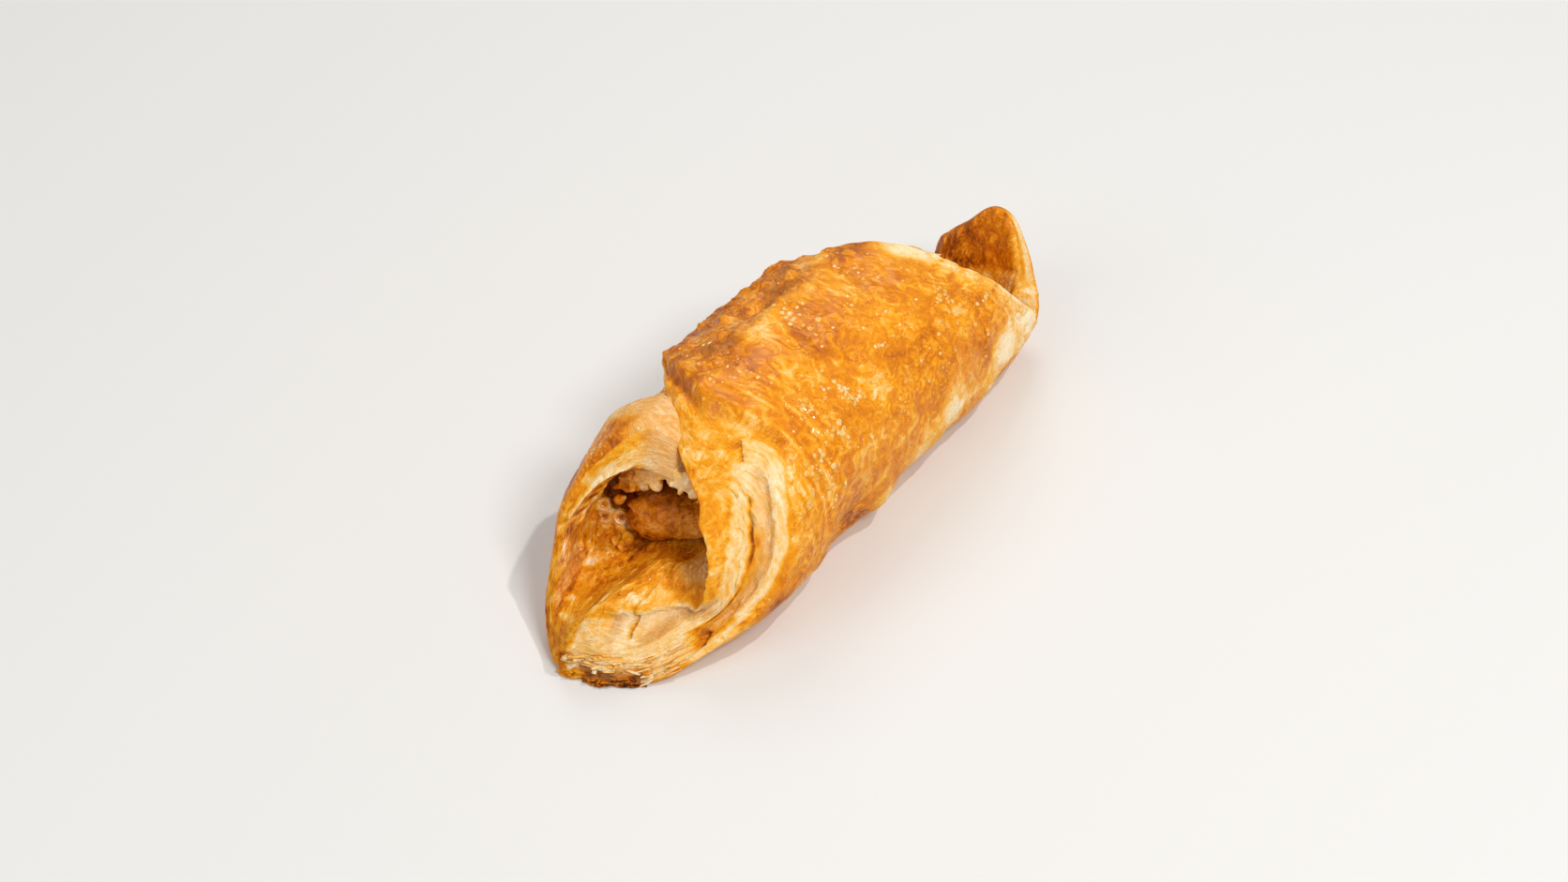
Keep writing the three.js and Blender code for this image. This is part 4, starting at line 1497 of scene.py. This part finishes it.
@dataclass
class Flakes:
    """Thin curled flakes of the layers at the cut edge."""

    sheet: DoughSheet
    seed: int = 77
    thickness: float = 0.16
    beds: tuple[FlakeBed, ...] = (
        FlakeBed((0, 42), (0.02, 0.12), 34, 2.6, Bake.DARK),
        FlakeBed((-20, 0), (0.02, 0.14), 22, 2.4, Bake.GOLDEN),
        FlakeBed((42, 60), (0.02, 0.14), 22, 3.0, Bake.PALE),
        FlakeBed((-20, 60), (0.2, 0.38), 48, 4.0, Bake.PALE),
    )

    def add_flake(
        self, bm: bmesh.types.BMesh, turn: float, level: float, length: float, rng: np.random.Generator
    ) -> int:
        """Adds one flake and returns how many vertices it has.

        Args:
            bm: the mesh.
            turn: where it lies round the mouth, degrees.
            level: where it lies in the thickness.
            length: its length round the mouth, mm.
            rng: source of its irregularity.

        Returns:
            The number of new vertices.
        """
        spots = DoughSheet.locate(np.array([turn, turn + 1.5]), np.zeros(2), np.array([level, level]))
        back = self.sheet.rim_relief(spots)
        stations = spots.station + back
        sunk = FORM.sunk(spots.station, spots.turn)
        here, beside = FORM.place(stations, spots.turn, sunk + spots.depth)
        inner = FORM.place(stations[0], turn, spots.depth[0] + 1.0 + sunk[0])
        made = bmesh.ops.create_grid(bm, x_segments=5, y_segments=2, size=0.5)["verts"]
        curl, sway = rng.uniform(-0.5, 0.5), rng.uniform(-0.25, 0.25)
        for vert in made:
            x, y = vert.co.x, vert.co.y
            vert.co.y = y * (1 - 1.2 * x * x) + sway * math.sin(4 * x)
            vert.co.z = curl * (x * x) + 0.25 * math.sin(5 * x + 9 * curl) * (y + 0.5)
        faces = list({f for v in made for f in v.link_faces})
        thick = bmesh.ops.solidify(bm, geom=faces, thickness=self.thickness)["geom"]
        verts = made + [g for g in thick if isinstance(g, bmesh.types.BMVert)]
        width = rng.uniform(0.6, 1.2)
        along = beside - here
        along = along / np.linalg.norm(along)
        inwards = inner - here
        inwards = inwards - along * np.dot(inwards, along)
        here = here + np.array([-0.1 - 0.2 * rng.uniform(), 0, 0])
        matrix = turned_frame(along, inwards, here, (length, width, 1.0))
        bmesh.ops.transform(bm, matrix=matrix, verts=verts)
        return len(verts)

    def build(self) -> bpy.types.Object:
        """Builds all flakes as one piece."""
        rng = np.random.default_rng(self.seed)
        bm = bmesh.new()
        bakes = []
        for bed in self.beds:
            for _ in range(bed.count):
                turn = rng.uniform(*bed.turns)
                level = rng.uniform(*bed.levels)
                length = bed.length * rng.uniform(0.5, 1.3)
                count = self.add_flake(bm, turn, level, length, rng)
                bakes += [bed.bake + rng.uniform(-0.1, 0.14)] * count
        bmesh.ops.recalc_face_normals(bm, faces=bm.faces[:])
        places = vertex_places(bm)
        places[:, 2] = np.maximum(places[:, 2], 0.02)
        return finish_mesh("flakes", bm, places, surface_marks(places, np.array(bakes), 0.1))


# ---- Finishes -----------------------------------------------------------------


def srgb(red: int, green: int, blue: int) -> tuple[float, float, float, float]:
    """A colour given by its 0 to 255 screen values, as the shader takes it."""
    linear = [((c / 255 + 0.055) / 1.055) ** 2.4 if c > 10 else c / 255 / 12.92 for c in (red, green, blue)]
    return (*linear, 1.0)


class Nodes:
    """A node tree with short calls that add and join nodes."""

    def __init__(self, tree: bpy.types.NodeTree) -> None:
        """Wraps the tree."""
        self.tree = tree

    def add(self, kind: str, inputs: dict | None = None, **settings: object) -> bpy.types.Node:
        """Adds a node.

        Args:
            kind: the node's type.
            inputs: values or sockets by input name or number.
            settings: properties of the node.

        Returns:
            The node.
        """
        node = self.tree.nodes.new(kind)
        for name, value in settings.items():
            setattr(node, name, value)
        for key, value in (inputs or {}).items():
            if isinstance(value, bpy.types.NodeSocket):
                self.tree.links.new(value, node.inputs[key])
            else:
                node.inputs[key].default_value = value
        return node

    def link(self, source: bpy.types.NodeSocket, target: bpy.types.NodeSocket) -> None:
        """Joins two sockets."""
        self.tree.links.new(source, target)

    def math(self, operation: str, *values: object, clamp: bool = False) -> bpy.types.NodeSocket:
        """A Math node's result."""
        inputs = dict(enumerate(values))
        return self.add("ShaderNodeMath", inputs, operation=operation, use_clamp=clamp).outputs[0]

    def noise(
        self, vector: bpy.types.NodeSocket, scale: float, detail: float, twist: float = 0.0
    ) -> bpy.types.NodeSocket:
        """A noise texture's value, 0 on average and about 0.2 at most."""
        inputs = {"Vector": vector, "Scale": scale, "Detail": detail, "Distortion": twist}
        return self.math("SUBTRACT", self.add("ShaderNodeTexNoise", inputs).outputs["Fac"], 0.5)

    def blend(self, part: bpy.types.NodeSocket, first: object, second: object) -> bpy.types.NodeSocket:
        """A mix of two colours."""
        node = self.add("ShaderNodeMix", data_type="RGBA")
        for index, value in ((0, part), (6, first), (7, second)):
            if isinstance(value, bpy.types.NodeSocket):
                self.link(value, node.inputs[index])
            else:
                node.inputs[index].default_value = value
        return node.outputs[2]

    def ramp(
        self, value: bpy.types.NodeSocket, stops: Sequence[tuple[float, tuple]]
    ) -> bpy.types.NodeSocket:
        """A colour ramp's colour."""
        node = self.add("ShaderNodeValToRGB", {"Fac": value})
        elements = node.color_ramp.elements
        while len(elements) < len(stops):
            elements.new(1.0)
        for element, (position, colour) in zip(elements, stops):
            element.position = position
            element.color = colour
        return node.outputs["Color"]


def new_material(name: str) -> tuple[bpy.types.Material, Nodes, bpy.types.Node]:
    """A new material with its nodes and its shader."""
    material = bpy.data.materials.new(name)
    material.use_nodes = True
    return material, Nodes(material.node_tree), material.node_tree.nodes["Principled BSDF"]


def set_inputs(node: bpy.types.Node, values: dict[str, object]) -> None:
    """Sets plain numbers and colours on a node's own sockets."""
    for name, value in values.items():
        node.inputs[name].default_value = value


def new_group(
    name: str, inputs: Sequence[tuple[str, str, object]], outputs: Sequence[tuple[str, str]]
) -> Nodes:
    """Makes an empty node group with its sockets.

    Args:
        name: the group's name.
        inputs: name, socket type and default of each input.
        outputs: name and socket type of each output.

    Returns:
        The group's nodes, with its two end nodes named ins and outs.
    """
    tree = bpy.data.node_groups.new(name, "ShaderNodeTree")
    for label, kind, default in inputs:
        socket = tree.interface.new_socket(label, in_out="INPUT", socket_type=kind)
        if default is not None:
            socket.default_value = default
    for label, kind in outputs:
        tree.interface.new_socket(label, in_out="OUTPUT", socket_type=kind)
    nodes = Nodes(tree)
    nodes.add("NodeGroupInput", name="ins")
    nodes.add("NodeGroupOutput", name="outs")
    return nodes


class SharedEffects:
    """Node groups that several finishes use."""

    def __init__(self) -> None:
        """Builds each group once."""
        self.colour = self.bake_colour()
        self.mottle = self.bake_mottle()

    @staticmethod
    def bake_colour() -> bpy.types.NodeTree:
        """Colour of dough by how far it has browned: 0 pale, 0.5 golden, 1 burnt; its second input blends
        towards a greyish ramp, used for burnt dough and mostly for painted shade.
        """
        sockets = [("Bake", "NodeSocketFloat", 0.5), ("Tan_and_shade", "NodeSocketFloat", 0.0)]
        nodes = new_group("bake_colour", sockets, [("Color", "NodeSocketColor")])
        ins, outs = nodes.tree.nodes["ins"], nodes.tree.nodes["outs"]
        stops = [
            (0.0, srgb(254, 230, 188)),
            (0.16, srgb(250, 211, 148)),
            (0.3, srgb(247, 190, 100)),
            (0.42, srgb(244, 172, 46)),
            (0.52, srgb(238, 154, 12)),
            (0.64, srgb(226, 134, 12)),
            (0.76, srgb(194, 104, 8)),
            (0.88, srgb(140, 68, 8)),
            (1.0, srgb(58, 32, 16)),
        ]
        # Greyish ramp for burnt dough and for painted shade.
        dull_and_shade = [
            (0.0, srgb(238, 200, 150)),
            (0.4, srgb(214, 158, 96)),
            (0.7, srgb(188, 116, 44)),
            (1.0, srgb(96, 66, 40)),
        ]
        warm = nodes.ramp(ins.outputs["Bake"], stops)
        grey = nodes.ramp(ins.outputs["Bake"], dull_and_shade)
        nodes.link(nodes.blend(ins.outputs["Tan_and_shade"], warm, grey), outs.inputs["Color"])
        return nodes.tree

    @staticmethod
    def bake_mottle() -> bpy.types.NodeTree:
        """Broad blotches with pale curls and dots on them, about 0 on average.

        Returns:
            The group; its second output is a mask of the tiny bubbles that the dots are.
        """
        sockets = [("Vector", "NodeSocketVector", None), ("Amount", "NodeSocketFloat", 1.0)]
        results = [("Value", "NodeSocketFloat"), ("Bubbles", "NodeSocketFloat")]
        nodes = new_group("bake_mottle", sockets, results)
        ins, outs = nodes.tree.nodes["ins"], nodes.tree.nodes["outs"]
        vector = ins.outputs["Vector"]
        broad = nodes.math("MULTIPLY", nodes.noise(vector, 0.1, 2.0, 0.4), 0.7)
        tone = nodes.math("MULTIPLY_ADD", nodes.noise(vector, 0.36, 3.0, 1.6), 0.9, broad)
        tone = nodes.math("MINIMUM", tone, nodes.math("MULTIPLY", tone, 0.4))
        patch = nodes.math("MULTIPLY_ADD", nodes.noise(vector, 0.17, 1.0), 5.0, 0.6, clamp=True)
        crest = nodes.math("ABSOLUTE", nodes.noise(vector, 0.75, 2.0, 2.6))
        curls = nodes.math("MULTIPLY_ADD", crest, -24.0, 1.0, clamp=True)
        curls = nodes.math("MULTIPLY", curls, patch)
        tone = nodes.math("MULTIPLY_ADD", curls, -0.2, tone)
        cells = nodes.add("ShaderNodeTexVoronoi", {"Vector": vector, "Scale": 0.95})
        dots = nodes.math("MULTIPLY_ADD", cells.outputs["Distance"], -11.0, 3.0, clamp=True)
        chosen = nodes.add("ShaderNodeSeparateColor", {"Color": cells.outputs["Color"]}).outputs["Red"]
        chosen = nodes.math("GREATER_THAN", chosen, 0.6)
        dots = nodes.math("MULTIPLY", nodes.math("MULTIPLY", dots, chosen), patch)
        # The dots are paler, partly as painted glints on the tiny bubbles.
        tone = nodes.math("MULTIPLY_ADD", dots, -0.22, tone)
        tone = nodes.math("ADD", tone, 0.07)
        nodes.link(nodes.math("MULTIPLY", tone, ins.outputs["Amount"]), outs.inputs["Value"])
        nodes.link(dots, outs.inputs["Bubbles"])
        return nodes.tree


@dataclass(frozen=True)
class DoughFinish:
    """Baked dough: browning, egg-wash gloss and fine flaky relief."""

    name: str = "baked_dough"
    roughness: float = 0.6
    specular: float = 0.14
    coat: float = 0.5
    coat_roughness: float = 0.09
    mottle: float = 1.2
    bump_distance: float = 0.4 * MM
    bump_strength: float = 0.85
    leaf_stretch: tuple[float, float, float] = (1.0, 0.12, 2.4)

    def build(self, effects: SharedEffects) -> bpy.types.Material:
        """Builds the material."""
        material, nodes, shader = new_material(self.name)
        names = ("bake", "tan_and_shade", "gloss", "cut", "wet", "grain")
        marks = {m: nodes.add("ShaderNodeAttribute", attribute_name=m) for m in names}
        grain = marks["grain"].outputs["Vector"]
        cut, gloss, wet = (marks[m].outputs["Fac"] for m in ("cut", "gloss", "wet"))
        amount = nodes.math("MULTIPLY_ADD", cut, -0.6 * self.mottle, self.mottle)
        mottle = nodes.add("ShaderNodeGroup", node_tree=effects.mottle)
        nodes.link(grain, mottle.inputs["Vector"])
        nodes.link(amount, mottle.inputs["Amount"])
        mapping = nodes.add("ShaderNodeMapping", {"Vector": grain, "Scale": self.leaf_stretch})
        stretched = mapping.outputs["Vector"]
        strand = nodes.noise(stretched, 0.9, 4.0)
        strand = nodes.math("MULTIPLY", strand, nodes.math("MULTIPLY_ADD", cut, 0.6, 0.06))
        bake = nodes.math("ADD", marks["bake"].outputs["Fac"], mottle.outputs["Value"])
        bake = nodes.math("ADD", bake, strand, clamp=True)
        colour = nodes.add("ShaderNodeGroup", node_tree=effects.colour)
        nodes.link(bake, colour.inputs["Bake"])
        nodes.link(marks["tan_and_shade"].outputs["Fac"], colour.inputs["Tan_and_shade"])
        nodes.link(colour.outputs["Color"], shader.inputs["Base Color"])
        patchy = nodes.math("MULTIPLY_ADD", nodes.noise(grain, 0.3, 2.0), 2.2, 0.3, clamp=True)
        washed = nodes.math("MULTIPLY", nodes.math("MULTIPLY", gloss, patchy), self.coat)
        shiny = nodes.math("MULTIPLY", mottle.outputs["Bubbles"], gloss)
        washed = nodes.math("MULTIPLY_ADD", shiny, 0.6, washed)
        nodes.link(nodes.math("MAXIMUM", washed, wet, clamp=True), shader.inputs["Coat Weight"])
        rough = nodes.math("MULTIPLY_ADD", gloss, -0.16, self.roughness)
        nodes.link(nodes.math("MULTIPLY_ADD", wet, -0.2, rough), shader.inputs["Roughness"])
        pebbles = nodes.noise(grain, 0.75, 4.0, 0.8)
        leafy = nodes.math("MULTIPLY_ADD", cut, 1.0, 0.35)
        leaves = nodes.math("MULTIPLY", nodes.noise(stretched, 1.6, 4.0), leafy)
        height = nodes.math("MULTIPLY_ADD", pebbles, nodes.math("MULTIPLY_ADD", cut, -0.7, 1.5), leaves)
        height = nodes.math("MULTIPLY_ADD", mottle.outputs["Bubbles"], 0.5, height)
        bump = nodes.add("ShaderNodeBump", {"Height": height, "Strength": self.bump_strength})
        set_inputs(bump, {"Distance": self.bump_distance})
        nodes.link(bump.outputs["Normal"], shader.inputs["Normal"])
        set_inputs(shader, {
            "Specular IOR Level": self.specular,
            "Coat Roughness": self.coat_roughness,
            "Subsurface Weight": 0.1,
            "Subsurface Radius": (1.0, 0.5, 0.25),
            "Subsurface Scale": 1.2 * MM,
        })
        return material


@dataclass(frozen=True)
class CaramelFinish:
    """Cream cheese browned to a glossy caramel."""

    name: str = "browned_cheese"
    roughness: float = 0.5
    coat: float = 0.15
    mottle: float = 1.3
    bump_distance: float = 0.7 * MM

    def build(self, effects: SharedEffects) -> bpy.types.Material:
        """Builds the material."""
        material, nodes, shader = new_material(self.name)
        grain = nodes.add("ShaderNodeAttribute", attribute_name="grain").outputs["Vector"]
        bake = nodes.add("ShaderNodeAttribute", attribute_name="bake").outputs["Fac"]
        mottle = nodes.add("ShaderNodeGroup", node_tree=effects.mottle)
        set_inputs(mottle, {"Amount": self.mottle})
        nodes.link(grain, mottle.inputs["Vector"])
        stops = [
            (0.0, srgb(60, 26, 6)),
            (0.25, srgb(112, 54, 6)),
            (0.5, srgb(170, 88, 2)),
            (0.75, srgb(212, 126, 14)),
            (1.0, srgb(244, 184, 90)),
        ]
        tone = nodes.math("ADD", bake, mottle.outputs["Value"], clamp=True)
        nodes.link(nodes.ramp(tone, stops), shader.inputs["Base Color"])
        bump = nodes.add("ShaderNodeBump", {"Height": nodes.noise(grain, 0.7, 4.0, 0.8), "Strength": 0.8})
        set_inputs(bump, {"Distance": self.bump_distance})
        nodes.link(bump.outputs["Normal"], shader.inputs["Normal"])
        set_inputs(shader, {
            "Roughness": self.roughness,
            "Specular IOR Level": 0.1,
            "Coat Weight": self.coat,
            "Coat Roughness": 0.1,
        })
        return material


# ---- Stage ----------------------------------------------------------------------


@dataclass(frozen=True)
class Softbox:
    """A soft studio light."""

    name: str
    place: tuple[float, float, float]
    size: float
    power: float
    aim: tuple[float, float, float] = (0.0, 0.0, 0.02)

    def build(self) -> None:
        """Adds the light."""
        light = bpy.data.lights.new(self.name, "AREA")
        light.shape = "DISK"
        light.size = self.size
        light.energy = self.power
        lamp = add_object(self.name, light)
        lamp.location = self.place
        beam = Vector(self.aim) - Vector(self.place)
        lamp.rotation_euler = beam.to_track_quat("-Z", "Y").to_euler()


@dataclass(frozen=True)
class Studio:
    """Camera, pale floor and soft lights."""

    camera_place: tuple[float, float, float] = (-0.3516, -0.2471, 0.3797)
    forward: tuple[float, float, float] = (0.6166, 0.4398, -0.6530)
    upward: tuple[float, float, float] = (0.5316, 0.3792, 0.7574)
    lens: float = 60.0
    floor_size: float = 4.0
    floor_colour: tuple[float, float, float, float] = (0.74, 0.73, 0.71, 1.0)
    room_colour: tuple[float, float, float, float] = (1.0, 0.98, 0.95, 1.0)
    room_strength: float = 0.35
    lights: tuple[Softbox, ...] = (
        Softbox("key", (-0.2, -0.75, 0.95), 0.4, 6.9),
        Softbox("glint", (0.3, -0.4, 1.0), 0.04, 3.4),
        Softbox("fill", (-0.9, 0.3, 0.6), 0.9, 3.0),
        Softbox("back", (0.6, 0.5, 0.8), 0.6, 2.6),
    )

    def build(self) -> None:
        """Adds everything round the pastry."""
        camera = add_object("camera", bpy.data.cameras.new("camera"))
        camera.data.lens = self.lens
        camera.data.sensor_width = 36.0
        camera.data.clip_start = 0.01
        ahead, up = Vector(self.forward), Vector(self.upward)
        axes = Matrix((ahead.cross(up), up, -ahead)).transposed().to_4x4()
        camera.matrix_world = Matrix.Translation(self.camera_place) @ axes
        bpy.context.scene.camera = camera
        self.build_floor()
        for light in self.lights:
            light.build()
        world = bpy.data.worlds.new("soft_room")
        world.use_nodes = True
        background = world.node_tree.nodes["Background"]
        set_inputs(background, {"Color": self.room_colour, "Strength": self.room_strength})
        bpy.context.scene.world = world
        bpy.context.scene.view_settings.view_transform = "Standard"

    def build_floor(self) -> None:
        """Adds the pale floor."""
        bm = bmesh.new()
        bmesh.ops.create_grid(bm, x_segments=1, y_segments=1, size=self.floor_size / 2)
        mesh = bpy.data.meshes.new("floor")
        bm.to_mesh(mesh)
        bm.free()
        floor = add_object("floor", mesh)
        material, _, shader = new_material("pale_floor")
        set_inputs(shader, {"Base Color": self.floor_colour, "Roughness": 0.7})
        floor.data.materials.append(material)


# ---- Assembly -------------------------------------------------------------------


def dress(piece: bpy.types.Object, material: bpy.types.Material, slot: Slot, *nodes: str) -> None:
    """Gives a piece its material and body, hides the CAD nodes that it stands for, and reports it.

    Args:
        piece: the finished piece.
        material: its material.
        slot: the record's slot that it takes its finish from; it is not used.
        nodes: the CAD nodes that it stands for.
    """
    piece.data.materials.append(material)
    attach(piece, "root")
    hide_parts(*nodes)
    piece.data.calc_loop_triangles()
    log.info("%s: %d triangles", piece.name, len(piece.data.loop_triangles))


def main() -> None:
    """Builds the pastry and its stage."""
    logging.basicConfig(level=logging.INFO, format="%(message)s")
    effects = SharedEffects()
    dough = DoughFinish().build(effects)
    sheet = DoughSheet()
    dress(sheet.build(), dough, Slot.CRUST, "pastry")
    for part in (BakedInside(), TornDough(), MeltedSugar(), WashBubbles(sheet), Flakes(sheet)):
        dress(part.build(), dough, Slot.CRUST, "pastry")
    dress(CreamCheese().build(), CaramelFinish().build(effects), Slot.FILLING, "filling")
    Studio().build()


if __name__ == "__main__":
    main()
